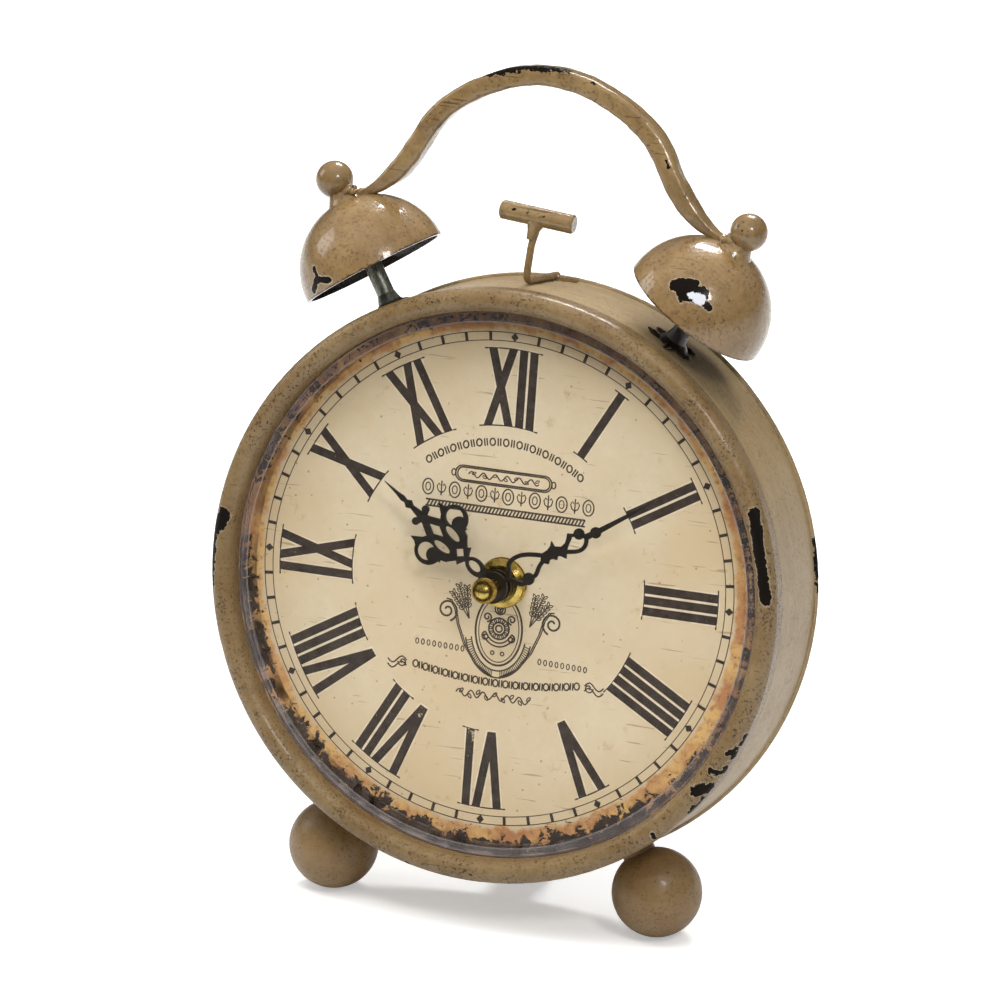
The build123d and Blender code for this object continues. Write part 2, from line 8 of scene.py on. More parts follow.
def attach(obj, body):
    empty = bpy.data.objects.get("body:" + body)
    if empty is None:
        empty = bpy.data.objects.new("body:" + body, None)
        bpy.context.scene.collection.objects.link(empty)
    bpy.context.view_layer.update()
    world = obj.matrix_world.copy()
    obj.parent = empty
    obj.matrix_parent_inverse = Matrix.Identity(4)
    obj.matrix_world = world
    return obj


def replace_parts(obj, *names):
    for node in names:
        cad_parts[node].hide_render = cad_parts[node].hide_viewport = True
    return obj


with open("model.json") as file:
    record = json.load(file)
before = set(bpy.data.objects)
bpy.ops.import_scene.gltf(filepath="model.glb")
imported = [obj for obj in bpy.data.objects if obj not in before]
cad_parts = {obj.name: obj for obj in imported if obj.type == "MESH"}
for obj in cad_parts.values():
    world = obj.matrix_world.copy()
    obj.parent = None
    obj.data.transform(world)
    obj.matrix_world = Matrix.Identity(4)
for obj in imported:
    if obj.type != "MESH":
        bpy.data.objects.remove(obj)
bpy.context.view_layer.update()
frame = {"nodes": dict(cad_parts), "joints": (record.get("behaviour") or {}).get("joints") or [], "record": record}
nodes = frame["nodes"]
print("frame loaded:", len(nodes), "nodes")

# The case leans back on its prop. Pieces and patterns are laid out in the case's own frame, in millimetres:
# x to the right, y from the dial to the back, z up along the dial, from the middle of the bezel.
mm = 0.001
spin = next(joint for joint in frame["joints"] if joint["name"] == "minute_spin")
lean = math.asin(-spin["axis"][2])
arborX = spin["pos_m"][0] / mm
caseOrigin = Vector((0, spin["pos_m"][1], spin["pos_m"][2]))
caseToRow = Matrix.Translation(caseOrigin) @ Matrix.Rotation(-lean, 4, "X") @ Matrix.Scale(mm, 4)

case = {"bezel": 79.2, "middle": 14.8, "dial": 7.0, "bellAngle": 30.2, "bellTip": 3.5, "bellRadial": 89.6,
        "bellRadius": 19.9, "bellWall": 1.2, "lensRim": 70.0, "lensEdge": 72.6}


# Nodes

def add(tree, kind, sockets=None, **settings):
    made = tree.nodes.new("ShaderNode" + kind)
    for name, value in settings.items():
        setattr(made, name, value)
    for name, value in (sockets or {}).items():
        if isinstance(value, bpy.types.NodeSocket):
            tree.links.new(value, made.inputs[name])
        else:
            made.inputs[name].default_value = value
    return made


def calc(tree, operation, first, second=0.0):
    return add(tree, "Math", {0: first, 1: second}, operation=operation).outputs[0]


def times(tree, first, second):
    return calc(tree, "MULTIPLY", first, second)


def plus(tree, first, second):
    return calc(tree, "ADD", first, second)


def minus(tree, first, second):
    return calc(tree, "SUBTRACT", first, second)


def larger(tree, first, second):
    return calc(tree, "MAXIMUM", first, second)


def vectors(tree, operation, first, second=(0, 0, 0)):
    return add(tree, "VectorMath", {0: first, 1: second}, operation=operation)


def mixed(tree, factor, first, second, mode="MIX"):
    return add(tree, "Mix", {0: factor, 6: first, 7: second}, data_type="RGBA", blend_type=mode).outputs[2]


def remap(tree, value, low, high, bottom=0.0, top=1.0):
    return add(tree, "MapRange", {0: value, 1: low, 2: high, 3: bottom, 4: top}).outputs[0]


def cloud(tree, point, scale, detail=3.0, roughness=0.5, distortion=0.0):
    return add(tree, "TexNoise", {"Vector": point, "Scale": scale, "Detail": detail, "Roughness": roughness,
                                  "Distortion": distortion}).outputs[0]


def stretched(tree, point, scale):
    return vectors(tree, "MULTIPLY", point, scale).outputs[0]


def fromAxis(tree, parts):
    # the distance from the y axis of a point whose x, y and z are given apart
    squares = plus(tree, times(tree, parts[0], parts[0]), times(tree, parts[2], parts[2]))
    return calc(tree, "SQRT", squares)


def tone(red, green, blue):
    return tuple(((channel / 255 + 0.055) / 1.055) ** 2.4 for channel in (red, green, blue)) + (1.0,)


def startGroup(name, inputs, outputs):
    group = bpy.data.node_groups.new(name, "ShaderNodeTree")
    for label, kind, value in inputs:
        socket = group.interface.new_socket(label, in_out="INPUT", socket_type="NodeSocket" + kind)
        socket.default_value = value
    for label, kind in outputs:
        group.interface.new_socket(label, in_out="OUTPUT", socket_type="NodeSocket" + kind)
    return group, group.nodes.new("NodeGroupInput").outputs, group.nodes.new("NodeGroupOutput").inputs


def use(tree, group, sockets):
    made = add(tree, "Group", node_tree=group)
    for name, value in sockets.items():
        if isinstance(value, bpy.types.NodeSocket):
            tree.links.new(value, made.inputs[name])
        else:
            made.inputs[name].default_value = value
    return made.outputs


def startMaterial(name, constants):
    material = bpy.data.materials.new(name)
    material.use_nodes = True
    shader = material.node_tree.nodes["Principled BSDF"]
    for label, value in constants.items():
        shader.inputs[label].default_value = value
    return material, material.node_tree, shader


def casePoint(tree):
    place = add(tree, "TexCoord").outputs["Object"]
    shift = Matrix.Rotation(lean, 3, "X") @ caseOrigin / -mm
    return add(tree, "Mapping", {"Vector": place, "Location": shift, "Rotation": (lean, 0, 0),
                                 "Scale": (1 / mm, 1 / mm, 1 / mm)}).outputs[0]


def feed(tree, shader, color=None, roughness=None, height=None, depth=1.0, metallic=None, coat=None,
         specular=None):
    for label, value in (("Base Color", color), ("Roughness", roughness), ("Metallic", metallic),
                         ("Coat Weight", coat), ("Specular IOR Level", specular)):
        if value is not None:
            tree.links.new(value, shader.inputs[label])
    if height is not None:
        bump = add(tree, "Bump", {"Strength": 1.0, "Distance": depth * mm, "Height": height})
        tree.links.new(bump.outputs[0], shader.inputs["Normal"])


# Shared effects

def makeEnamelGroup():
    group, given, made = startGroup("agedEnamel", [
        ("Point", "Vector", (0, 0, 0)), ("Tone", "Color", (0.5, 0.4, 0.3, 1)),
        ("Shade", "Color", (0.3, 0.2, 0.1, 1)), ("Grit", "Color", (0.05, 0.03, 0.02, 1)),
        ("Grit Scale", "Float", 1.6), ("Grit Amount", "Float", 0.5),
        ("Mottle", "Float", 0.5), ("Gloss", "Float", 0.3), ("Peel", "Float", 0.3)],
        [("Color", "Color"), ("Roughness", "Float"), ("Height", "Float")])
    point = given["Point"]
    broad = remap(group, cloud(group, point, 0.05, 4), 0.36, 0.66)
    middle = remap(group, cloud(group, point, 0.32, 4, 0.6), 0.35, 0.7)
    blend = plus(group, times(group, broad, 0.6), times(group, middle, 0.4))
    worn = times(group, blend, given["Mottle"])
    color = mixed(group, worn, given["Tone"], given["Shade"])
    grain = remap(group, cloud(group, point, given["Grit Scale"], 3, 0.65), 0.52, 0.66)
    patches = remap(group, cloud(group, point, 0.11, 3), 0.34, 0.62, 0.25, 1.0)
    grit = times(group, times(group, grain, patches), given["Grit Amount"])
    color = mixed(group, grit, color, given["Grit"])
    cells = add(group, "TexVoronoi", {"Vector": point, "Scale": 0.55}).outputs[0]
    pits = times(group, remap(group, cells, 0.13, 0.06),
                 remap(group, cloud(group, point, 0.4, 1), 0.56, 0.62))
    color = mixed(group, times(group, pits, 0.85), color, given["Grit"])
    group.links.new(color, made["Color"])
    rough = plus(group, given["Gloss"], times(group, plus(group, grit, pits), 0.3))
    group.links.new(plus(group, rough, times(group, worn, 0.06)), made["Roughness"])
    peel = times(group, cloud(group, point, 0.7, 2, 0.5), given["Peel"])
    dents = times(group, plus(group, grit, pits), -0.12)
    group.links.new(plus(group, peel, dents), made["Height"])
    return group


def makeChipGroup():
    # how far inside a ragged chip a point lies: the chip runs from Start to End
    group, given, made = startGroup("paintChip", [
        ("Point", "Vector", (0, 0, 0)), ("Start", "Vector", (0, 0, 0)), ("End", "Vector", (1, 0, 0)),
        ("Radius", "Float", 1.0), ("Ragged", "Float", 0.5), ("Noise", "Float", 0.5)], [("Inside", "Float")])
    fromStart = vectors(group, "SUBTRACT", given["Point"], given["Start"]).outputs[0]
    span = vectors(group, "SUBTRACT", given["End"], given["Start"]).outputs[0]
    along = calc(group, "DIVIDE", vectors(group, "DOT_PRODUCT", fromStart, span).outputs["Value"],
                 vectors(group, "DOT_PRODUCT", span, span).outputs["Value"])
    share = remap(group, along, 0, 1)
    nearest = add(group, "VectorMath", {0: span, "Scale": share}, operation="SCALE").outputs[0]
    gap = vectors(group, "DISTANCE", fromStart, nearest).outputs["Value"]
    ragged = times(group, minus(group, given["Noise"], 0.5), given["Ragged"])
    group.links.new(plus(group, minus(group, given["Radius"], gap), ragged), made["Inside"])
    return group


def makeStreakGroup():
    # fine brush marks that run round the case axis
    group, given, made = startGroup("brushedRound", [("Point", "Vector", (0, 0, 0)), ("Pitch", "Float", 2.0)],
                                    [("Value", "Float")])
    parts = add(group, "SeparateXYZ", {0: given["Point"]}).outputs
    angle = calc(group, "ARCTAN2", parts[0], parts[2])
    radius = fromAxis(group, parts)
    laid = add(group, "CombineXYZ", {0: times(group, angle, 1.6), 1: parts[1], 2: radius}).outputs[0]
    fine = cloud(group, stretched(group, laid, (1, 1.6, 1.6)), given["Pitch"], 4, 0.7)
    group.links.new(fine, made["Value"])
    return group


def makeScratchGroup():
    # sparse hairline scratches, in a few directions
    group, given, made = startGroup("hairScratches", [
        ("Point", "Vector", (0, 0, 0)), ("Amount", "Float", 0.5)], [("Mask", "Float")])
    total = None
    for turn in (0.4, 1.5, 2.4):
        laid = add(group, "Mapping", {"Vector": given["Point"], "Rotation": (turn, turn * 2, turn * 3),
                                      "Scale": (0.05, 0.9, 0.9)}).outputs[0]
        lines = remap(group, cloud(group, laid, 1.0, 2, 0.6, 0.3), 0.705, 0.73)
        total = lines if total is None else larger(group, total, lines)
    group.links.new(times(group, total, given["Amount"]), made["Mask"])
    return group


enamelGroup = makeEnamelGroup()
chipGroup = makeChipGroup()
streakGroup = makeStreakGroup()
scratchGroup = makeScratchGroup()


# Painted metal

def onBezel(clock, radius, y):
    angle = math.radians(clock)
    return (radius * math.sin(angle), y, radius * math.cos(angle))


# Where the paint has come off: two ends, radius, raggedness
bezelChips = [(onBezel(*start), onBezel(*end), radius, ragged) for start, end, radius, ragged in [
    ((-82.8, 76.8, -3.9), (-85.4, 78.2, -3.1), 2.1, 1.6),
    ((-84.0, 78.6, -2.6), (-98.0, 78.9, -2.2), 1.3, 1.7),
    ((67.5, 77.3, -3.7), (84.5, 76.8, -3.9), 1.55, 1.1),
    ((112, 79.0, -2.0), (131, 79.1, -1.6), 1.0, 2.2),
    ((115, 78.6, -2.6), (116.5, 77.4, -3.6), 0.8, 1.4),
    ((120.6, 78.4, -2.8), (121.4, 76.4, -4.0), 0.9, 1.4),
    ((124.6, 78.4, -2.8), (126.6, 76.4, -4.0), 1.6, 2.0),
    ((139.4, 77.6, -3.6), (139.8, 78.4, -2.9), 0.6, 0.8),
    ((-167.0, 78.4, -2.9), (-167.6, 78.8, -2.4), 0.55, 0.9),
]]
drumChips = [(onBezel(*start), onBezel(*end), radius, ragged) for start, end, radius, ragged in [
    ((76.0, 79.1, 32.0), (87.0, 79.1, 31.8), 0.7, 2.2),
    ((-60, 79.1, 32.0), (-66, 79.1, 32.0), 0.9, 2.0),
    ((150, 79.1, 32.0), (158, 79.1, 32.0), 0.9, 2.2),
]]
bellChips = [
    ((-55.9, -1.9, 78.4), (-54.2, -2.8, 76.0), 0.7, 0.8),
    ((-54.6, -2.5, 75.6), (-50.6, -4.2, 76.1), 0.95, 0.9),
    ((-54.6, -2.4, 75.2), (-55.9, -1.2, 72.2), 1.0, 0.9),
    ((45.2, -2.9, 86.5), (49.4, -2.2, 86.9), 1.8, 1.2),
    ((47.8, -3.5, 84.8), (51.8, -2.6, 84.8), 2.3, 1.5),
    ((52.6, -2.6, 83.2), (54.4, -2.3, 81.6), 0.8, 0.9),
    ((-39.0, 33.4, 80.0), (-41.0, 33.7, 78.0), 1.6, 1.4),
    ((52.0, 33.3, 80.0), (51.0, 33.7, 77.6), 1.3, 1.4),
]
handleChips = [
    ((-16.5, 13.6, 133.2), (-6.0, 13.8, 136.0), 1.3, 2.0),
    ((-6.0, 13.8, 136.0), (5.5, 14.0, 136.6), 1.2, 2.2),
    ((12.5, 12.9, 134.4), (14.0, 12.8, 133.8), 0.5, 1.2),
    ((34.6, 12.8, 116.0), (35.4, 12.8, 114.4), 0.4, 1.0),
    ((57.6, 10.9, 102.9), (59.8, 11.1, 101.6), 0.35, 1.5),
    ((56.4, 10.6, 101.6), (57.6, 10.4, 100.6), 0.25, 1.4),
    ((2.2, 12.6, 97.4), (-8.8, 12.7, 98.4), 0.15, 1.1),
]
# a painted highlight: a bright spot inside the right bell's black chip
chipHighlightSpots = [((50.2, -3.3, 84.4), (52.2, -2.8, 83.6), 1.35, 1.5)]
paint = {
    "bezel": {"tone": (134, 112, 78), "shade": (106, 80, 44), "grit": (34, 23, 13), "gritScale": 1.4,
              "gritAmount": 1.0, "mottle": 0.9, "gloss": 0.34, "peel": 0.35, "coat": 0.12, "rim": 0.35},
    "drum": {"tone": (156, 134, 98), "shade": (124, 98, 58), "grit": (66, 48, 27), "gritScale": 0.9,
             "gritAmount": 0.4, "mottle": 0.6, "gloss": 0.4, "peel": 0.1, "coat": 0.06, "rim": 0.3},
    "bell": {"tone": (146, 119, 80), "shade": (112, 86, 50), "grit": (50, 32, 16), "gritScale": 1.1,
             "gritAmount": 0.75, "mottle": 1.0, "gloss": 0.22, "peel": 0.3, "coat": 0.6, "rim": 0.45},
    "handle": {"tone": (144, 119, 80), "shade": (108, 83, 48), "grit": (44, 28, 14), "gritScale": 1.1,
               "gritAmount": 0.75, "mottle": 1.0, "gloss": 0.22, "peel": 0.3, "coat": 0.6, "rim": 0.0},
    "foot": {"tone": (136, 110, 72), "shade": (106, 76, 40), "grit": (44, 29, 15), "gritScale": 1.2,
             "gritAmount": 0.5, "mottle": 0.8, "gloss": 0.4, "peel": 0.3, "coat": 0.12, "rim": 0.2},
}
chipTone = tone(20, 15, 11)


def chipMasks(tree, point, chips):
    wander = cloud(tree, point, 0.55, 4, 0.65)
    deepest = None
    for start, end, radius, ragged in chips:
        inside = use(tree, chipGroup, {"Point": point, "Start": start, "End": end, "Radius": radius,
                                       "Ragged": ragged * 2, "Noise": wander})[0]
        deepest = inside if deepest is None else larger(tree, deepest, inside)
    mask = remap(tree, deepest, -0.05, 0.08)
    rim = times(tree, remap(tree, deepest, -0.34, -0.12), minus(tree, 1.0, mask))
    return mask, rim


def enamel(name, look, chips, shadeMask=None, streaks=0.0, brightAreas=()):
    # shadeMask(tree, point) gives painted shade in hollows, and the bells' worn dark mouth line; the last argument
    # lists painted highlight spots inside the chips
    material, tree, shader = startMaterial(name, {"Coat Roughness": 0.07})
    point = casePoint(tree)
    laid = use(tree, enamelGroup, {
        "Point": point, "Tone": tone(*look["tone"]), "Shade": tone(*look["shade"]),
        "Grit": tone(*look["grit"]), "Grit Scale": look["gritScale"],
        "Grit Amount": look["gritAmount"], "Mottle": look["mottle"],
        "Gloss": look["gloss"], "Peel": look["peel"]})
    color, rough, height = laid["Color"], laid["Roughness"], laid["Height"]
    if streaks:
        brushed = use(tree, streakGroup, {"Point": point, "Pitch": 1.3})["Value"]
        color = mixed(tree, times(tree, remap(tree, brushed, 0.5, 0.72), streaks), color,
                      tone(*look["shade"]))
        color = mixed(tree, times(tree, remap(tree, brushed, 0.48, 0.3), streaks * 0.7), color,
                      tone(184, 168, 138))
        height = plus(tree, height, times(tree, brushed, 0.05))
    if shadeMask is not None:
        # painted shade: the masked faces are blended towards dark brown
        color = mixed(tree, shadeMask(tree, point), color, tone(52, 38, 22))
    scratches = use(tree, scratchGroup, {"Point": point, "Amount": 0.6})["Mask"]
    color = mixed(tree, scratches, color, tone(*look["grit"]))
    mask, rim = chipMasks(tree, point, chips)
    color = mixed(tree, times(tree, rim, look["rim"]), color, tone(206, 190, 164))
    color = mixed(tree, mask, color, chipTone)
    # painted highlight: the listed spots are coloured bright bluish white
    if brightAreas:
        color = mixed(tree, chipMasks(tree, point, brightAreas)[0], color, tone(206, 208, 214))
    height = minus(tree, height, times(tree, mask, 0.35))
    feed(tree, shader, color, rough, height, 0.35, coat=remap(tree, mask, 0, 1, look["coat"], 0.0),
         specular=remap(tree, mask, 0, 1, 0.4, 0.08))
    return material


def bellInsideShadeAndMouthLine(tree, point):
    # painted shade inside both bells, which mirror each other, and the real worn dark line round their mouths
    angle = math.radians(case["bellAngle"])
    centre = (case["bellRadial"] * math.sin(angle), case["middle"], case["bellRadial"] * math.cos(angle))
    tipped = math.radians(case["bellAngle"] + case["bellTip"])
    axis = (math.sin(tipped), 0, math.cos(tipped))
    parts = add(tree, "SeparateXYZ", {0: point}).outputs
    across = calc(tree, "ABSOLUTE", parts[0])
    folded = add(tree, "CombineXYZ", {0: across, 1: parts[1], 2: parts[2]}).outputs[0]
    away = vectors(tree, "SUBTRACT", folded, centre).outputs[0]
    inner = case["bellRadius"] - case["bellWall"] / 2
    # the bells' inner faces get painted shade
    inside = calc(tree, "LESS_THAN", vectors(tree, "LENGTH", away).outputs["Value"], inner)
    rise = vectors(tree, "DOT_PRODUCT", away, axis).outputs["Value"]
    wobble = remap(tree, cloud(tree, point, 0.8, 3), 0.3, 0.7, 0.1, 0.75)
    mouth = times(tree, calc(tree, "LESS_THAN", rise, wobble), 0.75)
    near = calc(tree, "LESS_THAN", vectors(tree, "LENGTH", away).outputs["Value"], case["bellRadius"] + 0.5)
    return larger(tree, inside, times(tree, mouth, near))


def drumInsideShade(tree, point):
    # painted shade: faces inside the drum's inner radius are darkened
    parts = add(tree, "SeparateXYZ", {0: point}).outputs
    radius = fromAxis(tree, parts)
    return times(tree, calc(tree, "LESS_THAN", radius, case["bezel"] - 1.2), 0.8)


bezelPaint = enamel("bezelPaint", paint["bezel"], bezelChips)
drumPaint = enamel("drumPaint", paint["drum"], drumChips, drumInsideShade, streaks=0.5)
bellPaint = enamel("bellPaint", paint["bell"], bellChips, bellInsideShadeAndMouthLine, brightAreas=chipHighlightSpots)
handlePaint = enamel("handlePaint", paint["handle"], handleChips)
footPaint = enamel("footPaint", paint["foot"], [
    ((-51.6, 5.0, -88.2), (-50.0, 6.0, -89.6), 0.9, 1.6), ((46.0, 4.2, -74.0), (47.2, 4.0, -76.0), 0.35, 0.8),
    ((44.0, 9.0, -90.6), (50.0, 8.0, -90.0), 0.9, 1.6)])
print("enamel ready")


# Bare metal, plastic and the rest

def grained(name, look):
    # look: two tones, the size of the pattern, roughness, metallic, bump in millimetres
    material, tree, shader = startMaterial(name, {"Metallic": look.get("metallic", 0.0),
                                                  "Coat Weight": look.get("coat", 0.0)})
    point = casePoint(tree)
    pattern = cloud(tree, stretched(tree, point, look.get("stretch", (1, 1, 1))), look["scale"],
                    look.get("detail", 4), 0.6)
    color = mixed(tree, remap(tree, pattern, 0.35, 0.65), tone(*look["light"]), tone(*look["dark"]))
    scratches = use(tree, scratchGroup, {"Point": point, "Amount": look.get("scratches", 0.2)})["Mask"]
    color = mixed(tree, scratches, color, tone(*look["dark"]))
    rough = remap(tree, pattern, 0.3, 0.7, look["rough"][0], look["rough"][1])
    feed(tree, shader, color, rough, pattern, look["bump"])
    return material


finishes = {
    "plated_steel": {"light": (190, 190, 186), "dark": (140, 140, 138), "scale": 0.35, "rough": (0.25, 0.45),
                     "metallic": 1.0, "bump": 0.02, "scratches": 0.4},
    "screw_steel": {"light": (176, 172, 160), "dark": (96, 84, 66), "scale": 0.7, "rough": (0.3, 0.55),
                    "metallic": 1.0, "bump": 0.05, "scratches": 0.4},
    "rubber": {"light": (38, 37, 36), "dark": (22, 21, 20), "scale": 1.6, "rough": (0.7, 0.9), "bump": 0.08},
    "black_plastic": {"light": (34, 34, 35), "dark": (24, 24, 25), "scale": 3.0, "rough": (0.42, 0.58),
                      "bump": 0.03, "scratches": 0.15},
    "white_plastic": {"light": (226, 224, 214), "dark": (208, 204, 190), "scale": 0.3, "rough": (0.35, 0.45),
                      "bump": 0.02},
    "knob_plastic": {"light": (46, 46, 47), "dark": (32, 32, 33), "scale": 2.2, "rough": (0.35, 0.5),
                     "bump": 0.03},
    "nickel": {"light": (206, 202, 192), "dark": (168, 160, 144), "scale": 0.6, "rough": (0.14, 0.3),
               "metallic": 1.0, "bump": 0.02, "scratches": 0.3},
    "hand_black": {"light": (26, 20, 15), "dark": (14, 11, 9), "scale": 1.2, "rough": (0.34, 0.5),
                   "bump": 0.03, "coat": 0.2},
}
made = {name: grained(name, look) for name, look in finishes.items()}


def makeBrass():
    material, tree, shader = startMaterial("polished_brass", {"Metallic": 1.0})
    point = casePoint(tree)
    tarnish = remap(tree, cloud(tree, point, 0.28, 5, 0.6), 0.42, 0.7)
    color = mixed(tree, tarnish, tone(206, 182, 104), tone(150, 122, 60))
    rings = use(tree, streakGroup, {"Point": point, "Pitch": 1.0})["Value"]
    rough = plus(tree, times(tree, tarnish, 0.12), remap(tree, rings, 0.3, 0.7, 0.14, 0.24))
    feed(tree, shader, color, rough, rings, 0.015)
    return material


def makePostSteel():
    # bare greenish steel on the left; the right post is black with burnt paint
    material, tree, shader = startMaterial("post_steel", {"Coat Weight": 0.2})
    point = casePoint(tree)
    blotch = cloud(tree, point, 0.5, 5, 0.65)
    drawn = cloud(tree, stretched(tree, point, (2.2, 2.2, 0.3)), 0.9, 3)
    color = mixed(tree, remap(tree, drawn, 0.3, 0.7), tone(142, 144, 132), tone(96, 98, 88))
    color = mixed(tree, remap(tree, blotch, 0.5, 0.66), color, tone(74, 64, 46))
    parts = add(tree, "SeparateXYZ", {0: point}).outputs
    burnt = times(tree, calc(tree, "GREATER_THAN", parts[0], 0.0), remap(tree, blotch, 0.68, 0.6))
    color = mixed(tree, burnt, color, tone(30, 22, 14))
    metallic = minus(tree, 0.75, times(tree, burnt, 0.7))
    feed(tree, shader, color, remap(tree, blotch, 0.3, 0.7, 0.22, 0.5), blotch, 0.12, metallic)
    return material


def makeLens():
    # the dome barely shows; the thick moulded rim bends and tints the light
    material, tree, shader = startMaterial("lens_clear", {
        "Base Color": tone(206, 196, 194), "IOR": 1.46})
    point = casePoint(tree)
    parts = add(tree, "SeparateXYZ", {0: point}).outputs
    radius = fromAxis(tree, parts)
    ripple = cloud(tree, point, 0.12, 2)
    rimGap = calc(tree, "ABSOLUTE", minus(tree, radius, case["lensRim"]))
    edgeGap = calc(tree, "ABSOLUTE", minus(tree, radius, case["lensEdge"]))
    # painted highlights: the rim's inner and outer edges let less light through, so the pale base shows as bright
    # lines
    edges = larger(tree, remap(tree, rimGap, 0.45, 0.15), remap(tree, edgeGap, 0.4, 0.15))
    tree.links.new(remap(tree, edges, 0, 1, 0.93, 0.62), shader.inputs["Transmission Weight"])
    feed(tree, shader, None, remap(tree, ripple, 0.3, 0.7, 0.03, 0.1), ripple, 0.1)
    clear = add(tree, "BsdfTransparent", {0: tone(252, 251, 249)})
    glint = add(tree, "BsdfGlossy", {"Roughness": 0.03})
    dome = add(tree, "MixShader", {0: add(tree, "Fresnel", {"IOR": 1.12}).outputs[0]})
    tree.links.new(clear.outputs[0], dome.inputs[1])
    tree.links.new(glint.outputs[0], dome.inputs[2])
    rim = remap(tree, radius, case["lensRim"] - 0.2, case["lensRim"] + 0.3)
    whole = add(tree, "MixShader", {0: rim})
    tree.links.new(dome.outputs[0], whole.inputs[1])
    tree.links.new(shader.outputs[0], whole.inputs[2])
    lit = add(tree, "MixShader", {0: add(tree, "LightPath").outputs["Is Shadow Ray"]})
    tree.links.new(whole.outputs[0], lit.inputs[1])
    tree.links.new(clear.outputs[0], lit.inputs[2])
    tree.links.new(lit.outputs[0], tree.nodes["Material Output"].inputs["Surface"])
    return material


def makeCopper():
    material, tree, shader = startMaterial("copper_wire", {"Metallic": 0.6, "Coat Weight": 0.5})
    point = casePoint(tree)
    turns = add(tree, "TexWave", {"Vector": point, "Scale": 1.6, "Distortion": 0.4}, bands_direction="X")
    color = mixed(tree, turns.outputs[1], tone(96, 40, 14), tone(190, 104, 52))
    feed(tree, shader, color, remap(tree, turns.outputs[1], 0, 1, 0.45, 0.22), turns.outputs[1], 0.12)
    return material


def makeBoard():
    material, tree, shader = startMaterial("solder_mask", {"Coat Weight": 0.4})
    point = casePoint(tree)
    tracks = add(tree, "TexBrick", {"Vector": stretched(tree, point, (0.3, 0.3, 0.3)), "Scale": 1.4,
                                    "Color1": tone(18, 84, 50), "Color2": tone(24, 98, 58),
                                    "Mortar": tone(60, 130, 84), "Mortar Size": 0.03})
    grain = cloud(tree, point, 1.4, 3)
    color = mixed(tree, remap(tree, grain, 0.6, 0.75), tracks.outputs["Color"], tone(10, 54, 32))
    feed(tree, shader, color, remap(tree, grain, 0.3, 0.7, 0.25, 0.4), tracks.outputs[1], 0.03)
    return material


def makeCell():
    # a plain jacket: dark body, bronze band at the far end, bare steel at both ends
    material, tree, shader = startMaterial("cell_jacket", {"Coat Weight": 0.7, "Coat Roughness": 0.1})
    point = casePoint(tree)
    along = minus(tree, add(tree, "SeparateXYZ", {0: point}).outputs[0], arborX)
    speckle = cloud(tree, point, 1.8, 3)
    body = mixed(tree, remap(tree, speckle, 0.4, 0.7), tone(30, 54, 46), tone(24, 42, 36))
    band = remap(tree, along, 11.8, 12.0)
    color = mixed(tree, band, body, tone(176, 122, 66))
    stripe = times(tree, remap(tree, along, 9.6, 9.7), remap(tree, along, 11.0, 10.9))
    color = mixed(tree, stripe, color, tone(214, 206, 188))
    brightAreas = remap(tree, calc(tree, "ABSOLUTE", along), 23.5, 23.6)
    color = mixed(tree, brightAreas, color, tone(190, 188, 182))
    feed(tree, shader, color, remap(tree, speckle, 0.3, 0.7, 0.24, 0.36), speckle, 0.02, brightAreas)
    return material


made["brass"], made["post_steel"], made["lens"] = makeBrass(), makePostSteel(), makeLens()
made["copper"], made["board"], made["cell"] = makeCopper(), makeBoard(), makeCell()


# Dial

printing = {"x": -1.6, "z": 0.62, "trackInner": 63.65, "trackOuter": 65.95, "numeralFoot": 41.1,
            "numeralTop": 61.65, "bar": 2.28, "pitch": 2.92, "overshoot": 1.2, "border": 66.9}


def paperNodes(tree, point):
    # the paper's own colour, and how far a point lies from the middle of the print
    flat = vectors(tree, "SUBTRACT", point, (printing["x"], 0, printing["z"])).outputs[0]
    parts = add(tree, "SeparateXYZ", {0: flat}).outputs
    radius = fromAxis(tree, parts)
    broad = remap(tree, cloud(tree, point, 0.035, 4, 0.6), 0.34, 0.68)
    fine = remap(tree, cloud(tree, point, 0.4, 5, 0.7), 0.35, 0.7)
    color = mixed(tree, broad, tone(222, 211, 188), tone(214, 196, 166))
    color = mixed(tree, times(tree, fine, 0.35), color, tone(206, 190, 160))
    edge = remap(tree, radius, 48, 68)
    color = mixed(tree, times(tree, edge, 0.4), color, tone(208, 184, 144))
    return parts, radius, color


# clock angle, half its spread, and how far in the flakes reach
flakes = [(-155, 24, 3.4), (-105, 12, 3.2), (-62, 7, 2.6), (-36, 28, 1.8), (95, 34, 1.0), (152, 12, 3.0),
          (173, 3, 2.6)]


